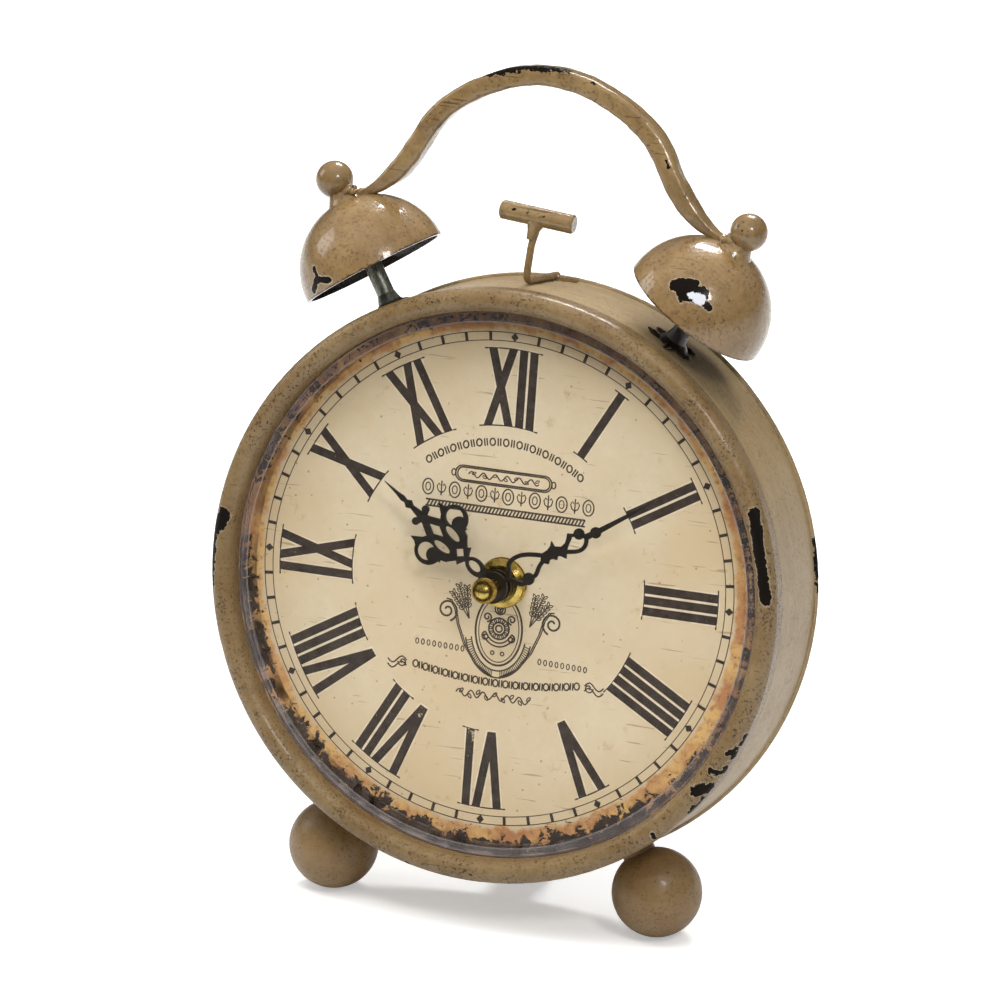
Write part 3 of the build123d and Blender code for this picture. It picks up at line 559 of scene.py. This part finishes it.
def makePaper():
    material, tree, shader = startMaterial("aged_paper", {"Specular IOR Level": 0.25})
    point = casePoint(tree)
    parts, radius, color = paperNodes(tree, point)
    # foxing and stains
    foxing = remap(tree, cloud(tree, point, 0.16, 6, 0.72), 0.6, 0.72)
    color = mixed(tree, times(tree, foxing, 0.55), color, tone(176, 140, 92))
    cells = add(tree, "TexVoronoi", {"Vector": point, "Scale": 0.42}).outputs[0]
    dots = times(tree, remap(tree, cells, 0.16, 0.1), remap(tree, cloud(tree, point, 0.3, 1), 0.54, 0.6))
    color = mixed(tree, times(tree, dots, 0.55), color, tone(104, 78, 48))
    scratches = use(tree, scratchGroup, {"Point": point, "Amount": 0.5})["Mask"]
    color = mixed(tree, scratches, color, tone(140, 112, 76))
    # the orange border, its brown edge and the flakes of black
    wander = cloud(tree, point, 0.22, 6, 0.65)
    shifted = plus(tree, radius, remap(tree, wander, 0.2, 0.8, -1.6, 1.6))
    border = remap(tree, shifted, printing["border"] - 0.7, printing["border"] + 0.5)
    rust = remap(tree, cloud(tree, point, 0.1, 5, 0.6), 0.4, 0.6)
    orange = mixed(tree, rust, tone(224, 186, 126), tone(190, 138, 98))
    orange = mixed(tree, remap(tree, cloud(tree, point, 0.6, 4, 0.7), 0.5, 0.75), orange, tone(150, 102, 70))
    color = mixed(tree, border, color, orange)
    angle = calc(tree, "ARCTAN2", parts[0], parts[2])
    flaking = None
    for clock, spread, strength in flakes:  # where the black lacquer under the border has lifted
        facing = calc(tree, "COSINE", minus(tree, angle, math.radians(clock)))
        share = remap(tree, facing, math.cos(math.radians(spread + 6)), math.cos(math.radians(spread)),
                      0, strength)
        flaking = share if flaking is None else larger(tree, flaking, share)
    reach = plus(tree, minus(tree, radius, 71.6), flaking)
    edgeNoise = cloud(tree, point, 0.34, 6, 0.7, 0.6)
    ragged = remap(tree, edgeNoise, 0.3, 0.7, -4.2, 4.2)
    flake = plus(tree, reach, ragged)
    onBorder = remap(tree, shifted, printing["border"] - 1.6, printing["border"] - 1.2)
    mask = times(tree, remap(tree, flake, 0.96, 1.04), onBorder)
    rim = times(tree, remap(tree, flake, 0.4, 0.7), onBorder)
    color = mixed(tree, times(tree, rim, 0.6), color, tone(206, 166, 120))
    color = mixed(tree, mask, color, tone(66, 58, 56))
    feed(tree, shader, color, remap(tree, wander, 0.3, 0.7, 0.55, 0.8), minus(tree, wander, mask), 0.05)
    return material


def makeInk(name, dark, wear):
    # printed ink, with the paper showing through where it has worn
    material, tree, shader = startMaterial(name, {"Specular IOR Level": 0.25})
    point = casePoint(tree)
    parts, radius, color = paperNodes(tree, point)
    flecks = remap(tree, cloud(tree, point, 1.3, 4, 0.75), 0.66, 0.7)
    lower = vectors(tree, "DISTANCE", point, (-14, case["dial"], -42)).outputs["Value"]
    rubbed = plus(tree, remap(tree, cloud(tree, point, 0.35, 6, 0.75), 0.3, 0.8, -0.5, 0.5),
                  remap(tree, lower, 6, 24, 0.34, -0.1))
    worn = larger(tree, times(tree, flecks, 0.8), remap(tree, rubbed, 0.34, 0.42, 0.0, 0.75))
    uneven = mixed(tree, remap(tree, cloud(tree, point, 0.5, 4), 0.3, 0.7), tone(*dark),
                   tone(*[channel + 18 for channel in dark]))
    ink = mixed(tree, times(tree, worn, wear), uneven, color)
    feed(tree, shader, ink, remap(tree, worn, 0, 1, 0.5, 0.7), flecks, 0.01)
    return material


def makeHalo():
    material, tree, shader = startMaterial("ink_halo", {"Specular IOR Level": 0.25, "Roughness": 0.7})
    parts, radius, color = paperNodes(tree, casePoint(tree))
    feed(tree, shader, mixed(tree, remap(tree, cloud(tree, casePoint(tree), 0.5, 3), 0.3, 0.7), color,
                             tone(232, 222, 202)))
    return material


made["paper"] = makePaper()
made["ink"] = makeInk("printed_ink", (54, 46, 42), 1.0)
made["fineInk"] = makeInk("fine_ink", (70, 62, 56), 0.6)
made["halo"] = makeHalo()
print("materials ready")


# Modelling helpers

def clearSelection():
    if bpy.context.mode != "OBJECT":
        bpy.ops.object.mode_set(mode="OBJECT")
    bpy.ops.object.select_all(action="DESELECT")


def choose(*pieces):
    clearSelection()
    for piece in pieces:
        piece.select_set(True)
    bpy.context.view_layer.objects.active = pieces[-1]


def joined(pieces):
    choose(*pieces)
    bpy.ops.object.join()
    return bpy.context.object


def modify(piece, kind, **settings):
    choose(piece)
    modifier = piece.modifiers.new(kind.lower(), kind)
    for name, value in settings.items():
        setattr(modifier, name, value)
    bpy.ops.object.modifier_apply(modifier=modifier.name)


def finishPiece(piece, name, material, body="case"):
    # stands a piece up with the case, its object left at the origin
    piece.name = piece.data.name = name
    piece.data.transform(caseToRow @ piece.matrix_world)
    piece.matrix_world = Matrix.Identity(4)
    piece.data.materials.clear()
    piece.data.materials.append(material)
    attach(piece, body)
    return piece


def cleanUp(piece, merge=0.001):
    choose(piece)
    bpy.ops.object.mode_set(mode="EDIT")
    bpy.ops.mesh.select_all(action="SELECT")
    bpy.ops.mesh.remove_doubles(threshold=merge)
    bpy.ops.mesh.normals_make_consistent(inside=False)
    bpy.ops.object.mode_set(mode="OBJECT")


def hammered(name, size):
    texture = bpy.data.textures.new(name, "CLOUDS")
    texture.noise_scale = size
    return texture


# Handle: a bar bent over the bells, hammered, with drawn-out ends

handle = {"line": [(53.4, 95.6), (46.6, 98.9), (42.4, 102.3), (38.3, 107.2), (35.1, 112.5), (32.2, 117.7),
                   (29.0, 121.8), (25.0, 125.2), (20.2, 128.3), (15.2, 130.7), (9.1, 132.8)], "top": 134.0,
          "depth": 16.0, "width": 6.4, "thick": 5.3, "edge": 1.5, "cuts": 90, "drawn": 18.0, "tipWidth": 0.5,
          "tipThick": 0.3}


def makeHandle():
    path = [(x, z) for x, z in handle["line"]] + [(0, handle["top"])]
    path += [(-x, z) for x, z in reversed(handle["line"])]
    clearSelection()
    bpy.ops.curve.primitive_bezier_curve_add()
    line = bpy.context.object
    spline = line.data.splines[0]
    spline.bezier_points.add(len(path) - 2)
    for spot, (x, z) in zip(spline.bezier_points, path):
        spot.co = (x, handle["depth"], z)
        spot.handle_left_type = spot.handle_right_type = "AUTO"
    spline.resolution_u = 24
    line.data.dimensions = "3D"
    line.data.twist_mode = "Z_UP"
    length = spline.calc_length()
    clearSelection()
    bpy.ops.mesh.primitive_cube_add(size=1, location=(length / 2, 0, 0),
                                    scale=(length, handle["width"], handle["thick"]))
    bar = bpy.context.object
    bpy.ops.object.transform_apply(location=True, scale=True)
    bpy.ops.object.mode_set(mode="EDIT")
    bpy.ops.mesh.select_all(action="SELECT")
    bpy.ops.mesh.bevel(offset=handle["edge"], segments=4, profile=0.55)
    bpy.ops.mesh.select_mode(type="EDGE")
    bpy.ops.mesh.select_all(action="DESELECT")
    bpy.ops.object.mode_set(mode="OBJECT")
    for edge in bar.data.edges:
        ends = [bar.data.vertices[i].co.x for i in edge.vertices]
        edge.select = abs(ends[0] - ends[1]) > length / 2
    bpy.ops.object.mode_set(mode="EDIT")
    bpy.ops.mesh.subdivide(number_cuts=handle["cuts"])
    bpy.ops.mesh.select_mode(type="VERT")
    bpy.ops.mesh.select_all(action="SELECT")
    bpy.ops.mesh.subdivide(number_cuts=2)
    bpy.ops.object.mode_set(mode="OBJECT")
    for vertex in bar.data.vertices:  # draw both ends out to a tongue
        reach = min(vertex.co.x, length - vertex.co.x) / handle["drawn"]
        ease = min(1.0, max(0.0, reach))
        ease = ease * ease * (3 - 2 * ease)
        vertex.co.y *= handle["tipWidth"] + (1 - handle["tipWidth"]) * ease
        vertex.co.z *= handle["tipThick"] + (1 - handle["tipThick"]) * ease
    modify(bar, "DISPLACE", texture=hammered("handleDents", 6.0), strength=0.7, mid_level=0.5,
           texture_coords="GLOBAL")
    modify(bar, "CURVE", object=line, deform_axis="POS_X")
    bpy.data.objects.remove(line)
    cleanUp(bar)
    choose(bar)
    bpy.ops.object.shade_smooth_by_angle(angle=math.radians(50))
    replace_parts(finishPiece(bar, "handle_bar", handlePaint), "handle")


makeHandle()
print("handle ready")


# Weld beads

def onCase(clock, radial, y, side=0.0):
    # a place at a clock angle and a distance from the case axis
    angle = math.radians(clock)
    return Vector((radial * math.sin(angle) + side * math.cos(angle), y,
                   radial * math.cos(angle) - side * math.sin(angle)))


def makeWeld(name, blobs, material, voxel=0.28):
    # blobs: place, radii, turn about the case axis
    clearSelection()
    lumps = []
    for place, radii, turn in blobs:
        bpy.ops.mesh.primitive_ico_sphere_add(subdivisions=4, radius=1, location=place,
                                              rotation=(0, math.radians(turn), 0), scale=radii)
        lumps.append(bpy.context.object)
    weld = joined(lumps)
    bpy.ops.object.transform_apply(location=True, rotation=True, scale=True)
    modify(weld, "REMESH", mode="VOXEL", voxel_size=voxel)
    modify(weld, "DISPLACE", texture=hammered(name + "Lumps", 1.4), strength=0.5, texture_coords="GLOBAL")
    modify(weld, "SMOOTH", iterations=3, factor=0.5)
    cleanUp(weld)
    choose(weld)
    bpy.ops.object.shade_smooth()
    finishPiece(weld, name, material)


neckRadial = case["bellRadial"] + case["bellRadius"] + 1.6
for side, word in ((-1, "left"), (1, "right")):
    turn = side * case["bellAngle"]
    inward = -side
    makeWeld(word + "_neck_weld", [
        (onCase(turn, neckRadial, 12.6, inward * 2.4), (1.9, 1.3, 1.1), turn),
        (onCase(turn, neckRadial + 1.0, 13.4, inward * 3.0), (1.2, 1.1, 0.9), turn),
        (onCase(turn, neckRadial - 1.0, 12.8, inward * 4.2), (1.4, 1.0, 0.7), turn),
        (onCase(turn, neckRadial + 0.2, 17.0, inward * 2.4), (1.7, 1.2, 1.0), turn),
        (onCase(turn, neckRadial - 1.2, 16.4, inward * 4.8), (1.3, 1.4, 0.7), turn)],
        handlePaint)

footRadial, postAngle, middle = 78.6, case["bellAngle"], case["middle"]
makeWeld("left_post_weld", [
    (onCase(-postAngle, footRadial, middle - 3.2, 0.6), (2.8, 1.6, 0.9), -30),
    (onCase(-postAngle, footRadial, middle + 0.8, -3.2), (2.0, 2.8, 1.0), -30),
    (onCase(-postAngle, footRadial, middle + 1.8, 3.0), (1.8, 2.5, 0.9), -30),
    (onCase(-postAngle, footRadial, middle + 4.2, 0.4), (2.5, 1.4, 0.8), -30)],
    made["post_steel"])
makeWeld("right_post_weld", [
    (onCase(postAngle, footRadial, middle - 4.8, 0.2), (1.2, 2.6, 0.7), 30),
    (onCase(postAngle, footRadial, middle - 2.4, -4.9), (2.9, 1.0, 0.6), 36),
    (onCase(postAngle, footRadial, middle - 3.0, 4.4), (2.7, 1.0, 0.6), 24),
    (onCase(postAngle, footRadial, middle + 2.4, -4.4), (2.5, 1.0, 0.6), 30),
    (onCase(postAngle, footRadial, middle + 3.6, 3.8), (2.6, 1.0, 0.6), 30),
    (onCase(postAngle, footRadial, middle, 0.0), (4.0, 4.0, 1.2), 30)], made["post_steel"])
makeWeld("hammer_weld", [
    (onCase(-0.9, 79.2, 17.6), (1.1, 1.4, 0.6), 0), (onCase(-0.5, 79.3, 20.4), (1.2, 1.3, 0.7), 0),
    (onCase(-0.2, 79.2, 23.0), (1.1, 1.4, 0.6), 0), (onCase(0.2, 79.2, 25.8), (1.2, 1.3, 0.7), 0),
    (onCase(0.7, 79.2, 28.4), (1.5, 1.2, 0.6), 0)], handlePaint)
print("welds ready")


# Dial print: flat slips of ink on the paper

def dialSpot(clock, side, out, lift):
    # (sideways, outwards) at a clock angle, from the middle of the print
    angle = math.radians(clock)
    return Vector((printing["x"] + side * math.cos(angle) + out * math.sin(angle), case["dial"] - lift,
                   printing["z"] - side * math.sin(angle) + out * math.cos(angle)))


def slip(corners):
    # a flat four-cornered slip of ink
    bpy.ops.mesh.primitive_plane_add(size=1)
    shape = bpy.context.object
    for vertex, corner in zip(shape.data.vertices, (corners[0], corners[1], corners[3], corners[2])):
        vertex.co = corner
    return shape


# each letter's bars, as foot and top, and how far it advances
letters = {"I": ([(0.0, 0.0)], 0.0), "V": ([(3.0, 0.0), (3.0, 6.0)], 6.0),
           "X": ([(0.0, 5.8), (5.8, 0.0)], 5.8)}
numerals = ["XII", "I", "II", "III", "IIII", "V", "VI", "VII", "VIII", "IX", "X", "XI"]


def numeralStrokes(word):
    strokes, feet, cursor = [], [], 0.0
    for letter in word:
        pairs, advance = letters[letter]
        strokes += [(cursor + foot, cursor + top) for foot, top in pairs]
        if letter != "V":
            feet += [cursor, cursor + advance]
        cursor += advance + printing["pitch"]
    middle = (cursor - printing["pitch"]) / 2
    return [(foot - middle, top - middle) for foot, top in strokes], [spot - middle for spot in feet], middle


def numeralSlips(grow, lift):
    slips = []
    inner, outer = printing["numeralFoot"] - grow, printing["numeralTop"] + grow
    for hour, word in enumerate(numerals):
        strokes, feet, middle = numeralStrokes(word)
        for order, (foot, top) in enumerate(strokes):
            half = printing["bar"] / 2 + grow
            slant = math.hypot(top - foot, outer - inner) / (outer - inner)
            sides = [(foot - half * slant, inner), (foot + half * slant, inner), (top + half * slant, outer),
                     (top - half * slant, outer)]
            height = lift + order * 0.003
            slips.append(slip([dialSpot(hour * 30, side, math.sqrt(out * out - side * side), height)
                               for side, out in sides]))
    return slips


def makePrint(name, shapes, thickness, material):
    flat = joined(shapes)
    modify(flat, "SOLIDIFY", thickness=thickness, offset=0)
    cleanUp(flat, 0.0001)
    return finishPiece(flat, name, material)


clearSelection()
makePrint("numeral_halos", numeralSlips(0.42, 0.01), 0.02, made["halo"])
makePrint("numerals", numeralSlips(0.0, 0.035), 0.03, made["ink"])

marks = []
for minute in range(60):
    clock = minute * 6
    if minute % 5:
        half, inner, outer = 0.42, printing["trackInner"], printing["trackOuter"]
        corners = [(-half, inner), (half, inner), (half, outer), (-half, outer)]
    else:
        middle, half = (printing["trackInner"] + printing["trackOuter"]) / 2, 1.05
        corners = [(0, middle - half * 1.15), (half, middle), (0, middle + half * 1.15), (-half, middle)]
    marks.append(slip([dialSpot(clock, side, out, 0.035) for side, out in corners]))
makePrint("minute_marks", marks, 0.03, made["ink"])
print("numerals ready")


# Fine ornament, drawn as strokes and pressed flat

strokes = []  # (points, closed, half width)
pen = {"scale": 1.0, "x": 0.0, "z": 0.0, "weight": 1.35}


def stroke(points, closed=False, width=0.13):
    placed = [(pen["x"] + pen["scale"] * x, pen["z"] + pen["scale"] * z) for x, z in points]
    strokes.append((placed, closed, width * pen["weight"]))


def oval(x, z, across, up, width=0.13, start=0.0, end=360.0, steps=20):
    turn = end - start
    closed = abs(turn) >= 360
    count = steps if closed else steps + 1
    stroke([(x + across * math.sin(math.radians(start + turn * i / steps)),
             z + up * math.cos(math.radians(start + turn * i / steps))) for i in range(count)], closed, width)


def scroll(x, z, large, small, start, turns, width=0.15, steps=26):
    # a spiral that ends at its eye; start is the clock angle of its outer end
    points = []
    for i in range(steps + 1):
        share = i / steps
        radius = large + (small - large) * share
        angle = math.radians(start + 360 * turns * share)
        points.append((x + radius * math.sin(angle), z + radius * math.cos(angle)))
    stroke(points, False, width)
    return points[0]


def leaf(x, z, length, breadth, clock, width=0.11):
    angle = math.radians(clock)
    along, across = (math.sin(angle), math.cos(angle)), (math.cos(angle), -math.sin(angle))
    for side in (-1, 1):
        stroke([(x + along[0] * length * t + side * across[0] * breadth * math.sin(math.pi * t),
                 z + along[1] * length * t + side * across[1] * breadth * math.sin(math.pi * t))
                for t in (0, 0.25, 0.5, 0.75, 1)], False, width)


def polar(clock, radius):
    angle = math.radians(clock)
    return printing["x"] + radius * math.sin(angle), printing["z"] + radius * math.cos(angle)


# two thin rings hold the minute marks
for ring in (printing["trackInner"], printing["trackOuter"]):
    oval(printing["x"], printing["z"], ring, ring, 0.09, steps=180)

# thin lines close the ends of the numerals
for hour, word in enumerate(numerals):
    feet, middle = numeralStrokes(word)[1:]
    reach = printing["bar"] / 2 + printing["overshoot"]
    spans = [(printing["numeralTop"], -middle - reach, middle + reach)]
    if feet:
        spans.append((printing["numeralFoot"], min(feet) - reach, max(feet) + reach))
    for radius, low, high in spans:
        points = []
        for i in range(9):
            side = low + (high - low) * i / 8
            spot = dialSpot(hour * 30, side, math.sqrt(radius * radius - side * side), 0)
            points.append((spot.x, spot.z))
        stroke(points, False, 0.14)


def beadAndReel(place, count):
    # alternate rings and twin bars along a line; place(share) gives a spot and the line's clock angle
    for i in range(count):
        (x, z), clock = place(i / (count - 1))
        angle = math.radians(clock)
        across = (math.cos(angle), -math.sin(angle))
        up = (math.sin(angle), math.cos(angle))
        if i % 2:
            for offset in (-0.35, 0.35):
                stroke([(x + across[0] * offset + up[0] * end, z + across[1] * offset + up[1] * end)
                        for end in (-1, 1)], False, 0.15)
        else:
            oval(x, z, 0.75, 0.95, 0.16, steps=12)


beadAndReel(lambda share: (polar(-36 + 71 * share, 36.6), -36 + 71 * share), 25)
pen.update(scale=0.989, x=-1.1, z=-0.47)

# the cartouche and its vine
cartouche = {"x": -0.8, "z": 28.4, "half": 11.6, "tall": 1.7}
for grow in (0.0, 0.45):
    half, tall = cartouche["half"] + grow * 0.4, cartouche["tall"] + grow
    ends = [(cartouche["x"] + side * half + side * tall * 0.9 * math.cos(math.radians(angle)),
             cartouche["z"] + side * tall * math.sin(math.radians(angle)))
            for side in (1, -1) for angle in range(-90, 91, 30)]
    stroke(ends, True, 0.15)
for side in (-1, 1):
    oval(cartouche["x"] + side * 14.2, cartouche["z"], 0.6, 0.9, 0.14, steps=10)
stroke([(cartouche["x"] - 10 + 20 * i / 60, cartouche["z"] + 0.75 * math.sin(i * 0.62)) for i in range(61)])
for i in range(7):
    leaf(cartouche["x"] - 9 + i * 3, cartouche["z"], 1.3, 0.35, 60 + (i % 2) * 60, 0.09)

# the chain of ovals and sprigs
for i in range(13):
    x = -22 + i * 45.6 / 12
    if i % 2:
        stroke([(x, 21.6), (x, 25.6)], False, 0.13)
        for side in (-1, 1):
            stroke([(x, 22.3), (x + side * 0.9, 22.9), (x + side * 1.25, 24.0), (x + side * 0.8, 24.8),
                    (x + side * 0.35, 24.3)], False, 0.12)
    else:
        oval(x, 23.6, 1.55, 2.1, 0.14)
        oval(x, 23.6, 0.7, 1.1, 0.11, steps=12)

# the rope-hatched bar
for z in (20.2, 18.5):
    stroke([(-22.4 + 45.4 * i / 12, z) for i in range(13)], False, 0.17)
for i in range(46):
    x = -22.0 + i * 0.98
    stroke([(x, 18.5), (x + 0.75, 20.2)], False, 0.17)

# the emblem: an oval wreathed by a hatched band, ears of corn and scrolled arms
emblem = {"x": 0.9, "z": -12.6, "across": 6.6, "up": 9.6}
oval(emblem["x"], emblem["z"], emblem["across"], emblem["up"], 0.2, steps=40)
oval(emblem["x"], emblem["z"], emblem["across"] - 0.9, emblem["up"] - 0.9, 0.1, steps=40)
for radius in (0.9, 1.7, 2.9):
    oval(emblem["x"], emblem["z"] + 0.4, radius, radius, 0.17, steps=18)
for i in range(12):
    angle = math.radians(i * 30)
    leaf(emblem["x"] + 1.7 * math.sin(angle), emblem["z"] + 0.4 + 1.7 * math.cos(angle), 1.2, 0.3,
         i * 30, 0.12)
for side in (-1, 1):
    scroll(emblem["x"] + side * 3.5, emblem["z"] + 3.2, 1.3, 0.3, 180, side * 1.4, 0.17)
    scroll(emblem["x"] + side * 3.6, emblem["z"] - 2.0, 1.2, 0.3, 0, side * 1.3, 0.17)
    leaf(emblem["x"], emblem["z"] + 4.2, 2.6, 0.7, side * 32, 0.15)
    oval(emblem["x"] + side * 1.4, emblem["z"] - 6.3, 0.5, 0.5, 0.13, steps=10)
leaf(emblem["x"], emblem["z"] + 4.2, 3.2, 0.8, 0, 0.15)
for drop in (3.9, 4.9):
    oval(emblem["x"], emblem["z"] + 1.4, drop + 0.2, drop + 1.0, 0.15, 118, 242, 14)
for radius in (1.7, 3.9):  # the band below the oval
    oval(emblem["x"], emblem["z"], emblem["across"] + radius * 0.75, emblem["up"] + radius * 0.85, 0.14,
         104, 256, 30)
for i in range(46):
    angle = math.radians(108 + i * 3.2)
    x0, x1 = emblem["across"] + 1.35, emblem["across"] + 2.85
    z0, z1 = emblem["up"] + 1.5, emblem["up"] + 3.2
    if abs(i - 22.5) > 2:
        stroke([(emblem["x"] + x0 * math.sin(angle), emblem["z"] + z0 * math.cos(angle)),
                (emblem["x"] + x1 * math.sin(angle), emblem["z"] + z1 * math.cos(angle))], False, 0.09)
for side in (-1, 1):
    outer = scroll(emblem["x"] + side * 15.0, -9.0, 3.1, 0.5, 200 * side, side * 1.65, 0.2)
    for shift in (0.0, 0.5):
        stroke([(emblem["x"] + side * (0.6 + shift), -25.6), (emblem["x"] + side * (5.6 + shift), -22.6),
                (emblem["x"] + side * (9.2 + shift), -17.6), (emblem["x"] + side * (11.4 + shift), -12.4),
                (emblem["x"] + side * (12.4 + shift), -8.4), (emblem["x"] + side * (13.9 + shift), -6.1),
                (emblem["x"] + side * 15.4, -5.9)], False, 0.13)
    for tilt, high in ((8, 8.4), (22, 9.2), (38, 8.2)):  # ears of corn
        angle = math.radians(side * tilt)
        foot = (emblem["x"] + side * 8.6, -10.6)
        stroke([(foot[0] + math.sin(angle) * high * t, foot[1] + math.cos(angle) * high * t)
                for t in (0, 0.5, 1)], False, 0.12)
        for step in range(5):
            t = 0.35 + step * 0.15
            for lay in (-35, 35):
                leaf(foot[0] + math.sin(angle) * high * t, foot[1] + math.cos(angle) * high * t, 1.5, 0.32,
                     side * tilt + lay, 0.1)

# rows of beads beside and below the emblem
for low, high in ((-22.0, -9.0), (13.0, 26.0)):
    for i in range(9):
        x = low + (high - low) * i / 8
        z = -19.2 - 0.03 * x
        oval(x, z, 0.42, 0.75, 0.11, steps=10)
beadAndReel(lambda share: ((-22 + 46 * share, -27.0 + 9 * (share - 0.5) ** 2), 0), 33)
for side in (-1, 1):
    for low in (-0.5, 0.9):
        stroke([(0.8 + side * (25.4 + 5.4 * t), -25.2 + low + 1.0 * math.sin(6.3 * t)) for t in
                (0, 0.12, 0.25, 0.38, 0.5, 0.62, 0.75, 0.88, 1)], False, 0.15)
    scroll(0.8 + side * 26.6, -24.8, 1.3, 0.3, 90 * side, side * 1.2, 0.14)
stroke([(-10 + 21 * i / 70, -30.8 + 0.9 * math.sin(i * 0.55)) for i in range(71)], False, 0.14)
for i in range(9):
    leaf(-9 + i * 2.4, -30.8, 1.6, 0.4, 40 + (i % 2) * 100, 0.12)


def makeOrnament():
    clearSelection()
    bpy.ops.curve.primitive_bezier_curve_add()
    drawing = bpy.context.object
    drawing.data.splines.clear()
    drawing.data.dimensions = "3D"
    drawing.data.bevel_depth = 1.0
    drawing.data.bevel_resolution = 0
    drawing.data.use_fill_caps = True
    for points, closed, width in strokes:
        line = drawing.data.splines.new("POLY")
        line.points.add(len(points) - 1)
        line.use_cyclic_u = closed
        for spot, (x, z) in zip(line.points, points):
            spot.co = (x, 0, z, 1)
            spot.radius = width
    bpy.ops.object.convert(target="MESH")
    for vertex in drawing.data.vertices:  # pressed flat on the paper
        vertex.co.y = case["dial"] - 0.02 + vertex.co.y * 0.12
    cleanUp(drawing, 0.0001)
    finishPiece(drawing, "dial_ornament", made["fineInk"])
    print("ornament faces:", len(drawing.data.polygons))


makeOrnament()


# Materials on the CAD nodes

slotFinish = {"case_paint": drumPaint, "cover_paint": drumPaint, "bell_paint": bellPaint}
slotMaterial = {"post_steel": "post_steel", "screw_steel": "screw_steel", "lens_clear": "lens",
                "dial_print": "paper", "plate_steel": "plated_steel", "rubber_black": "rubber",
                "movement_black": "black_plastic", "gear_white": "white_plastic", "copper_wire": "copper",
                "board_green": "board", "contact_nickel": "nickel", "cell_jacket": "cell", "brass": "brass",
                "knob_plastic": "knob_plastic", "hand_black": "hand_black"}
slotFinish.update({slot: made[name] for slot, name in slotMaterial.items()})
nodeFinish = {"front_bezel": bezelPaint, "left_ball_foot": footPaint, "right_ball_foot": footPaint,
              "rear_prop": footPaint, "left_finial": handlePaint, "right_finial": handlePaint,
              "hammer_head": handlePaint, "hammer_stalk": handlePaint, "hammer_weld_plate": handlePaint}
for row in frame["record"]["subparts"]:
    node = nodes[row["node"]]
    node.data.materials.clear()
    node.data.materials.append(nodeFinish.get(row["node"], slotFinish[row["material_slot"]]))
print("frame painted")


# Floor, light and camera

studio = {"target": caseOrigin + Vector((-0.0014, 0.0083, 0.0212)), "azimuth": 20.83, "elevation": 21.41,
          "distance": 2.6285, "lens": 360, "floor": 4.0, "horizon": 0.05, "zenith": 0.55}
lamps = [
    {"name": "key", "azimuth": 44, "elevation": 41, "distance": 1.6, "size": (0.3, 0.3), "power": 7.0},
    {"name": "top", "azimuth": -25, "elevation": 72, "distance": 1.3, "size": (1.0, 0.8), "power": 16.0},
    {"name": "back", "azimuth": 184, "elevation": 46, "distance": 1.4, "size": (0.45, 0.25), "power": 12.0},
    {"name": "left", "azimuth": -85, "elevation": 26, "distance": 1.4, "size": (0.6, 0.6), "power": 3.0},
]


def around(azimuth, elevation, distance):
    turn, rise = math.radians(azimuth), math.radians(elevation)
    return studio["target"] + distance * Vector(
        (math.sin(turn) * math.cos(rise), -math.cos(turn) * math.cos(rise), math.sin(rise)))


def facingTarget(thing, place):
    thing.location = place
    thing.rotation_euler = (studio["target"] - place).to_track_quat("-Z", "Y").to_euler()


def makeStudio():
    clearSelection()
    bpy.ops.mesh.primitive_plane_add(size=studio["floor"] * 2)
    floor = bpy.context.object
    floor.name = "floor"
    material, tree, shader = startMaterial("floor_pale", {"Base Color": (0.8, 0.8, 0.79, 1), "Roughness": 0.9,
                                                          "Emission Color": (1, 1, 1, 1)})
    seen = add(tree, "LightPath").outputs["Is Camera Ray"]
    tree.links.new(times(tree, seen, 0.4), shader.inputs["Emission Strength"])
    floor.data.materials.append(material)
    for lamp in lamps:
        bpy.ops.object.light_add(type="AREA")
        light = bpy.context.object
        light.name = lamp["name"]
        light.data.shape = "RECTANGLE"
        light.data.size, light.data.size_y = lamp["size"]
        light.data.energy = lamp["power"]
        light.visible_glossy = lamp["name"] != "top"
        facingTarget(light, around(lamp["azimuth"], lamp["elevation"], lamp["distance"]))
    world = bpy.data.worlds.new("studio")
    bpy.context.scene.world = world
    world.use_nodes = True
    sky = world.node_tree
    background = sky.nodes["Background"]
    background.inputs["Color"].default_value = (1.0, 0.99, 0.97, 1)
    height = add(sky, "SeparateXYZ", {0: add(sky, "TexCoord").outputs["Generated"]}).outputs[2]
    strength = remap(sky, height, 0.1, 0.8, studio["horizon"], studio["zenith"])
    sky.links.new(strength, background.inputs["Strength"])
    bpy.ops.object.camera_add()
    camera = bpy.context.object
    camera.data.lens = studio["lens"]
    facingTarget(camera, around(studio["azimuth"], studio["elevation"], studio["distance"]))
    bpy.context.scene.camera = camera
    bpy.context.scene.view_settings.view_transform = "Standard"


makeStudio()
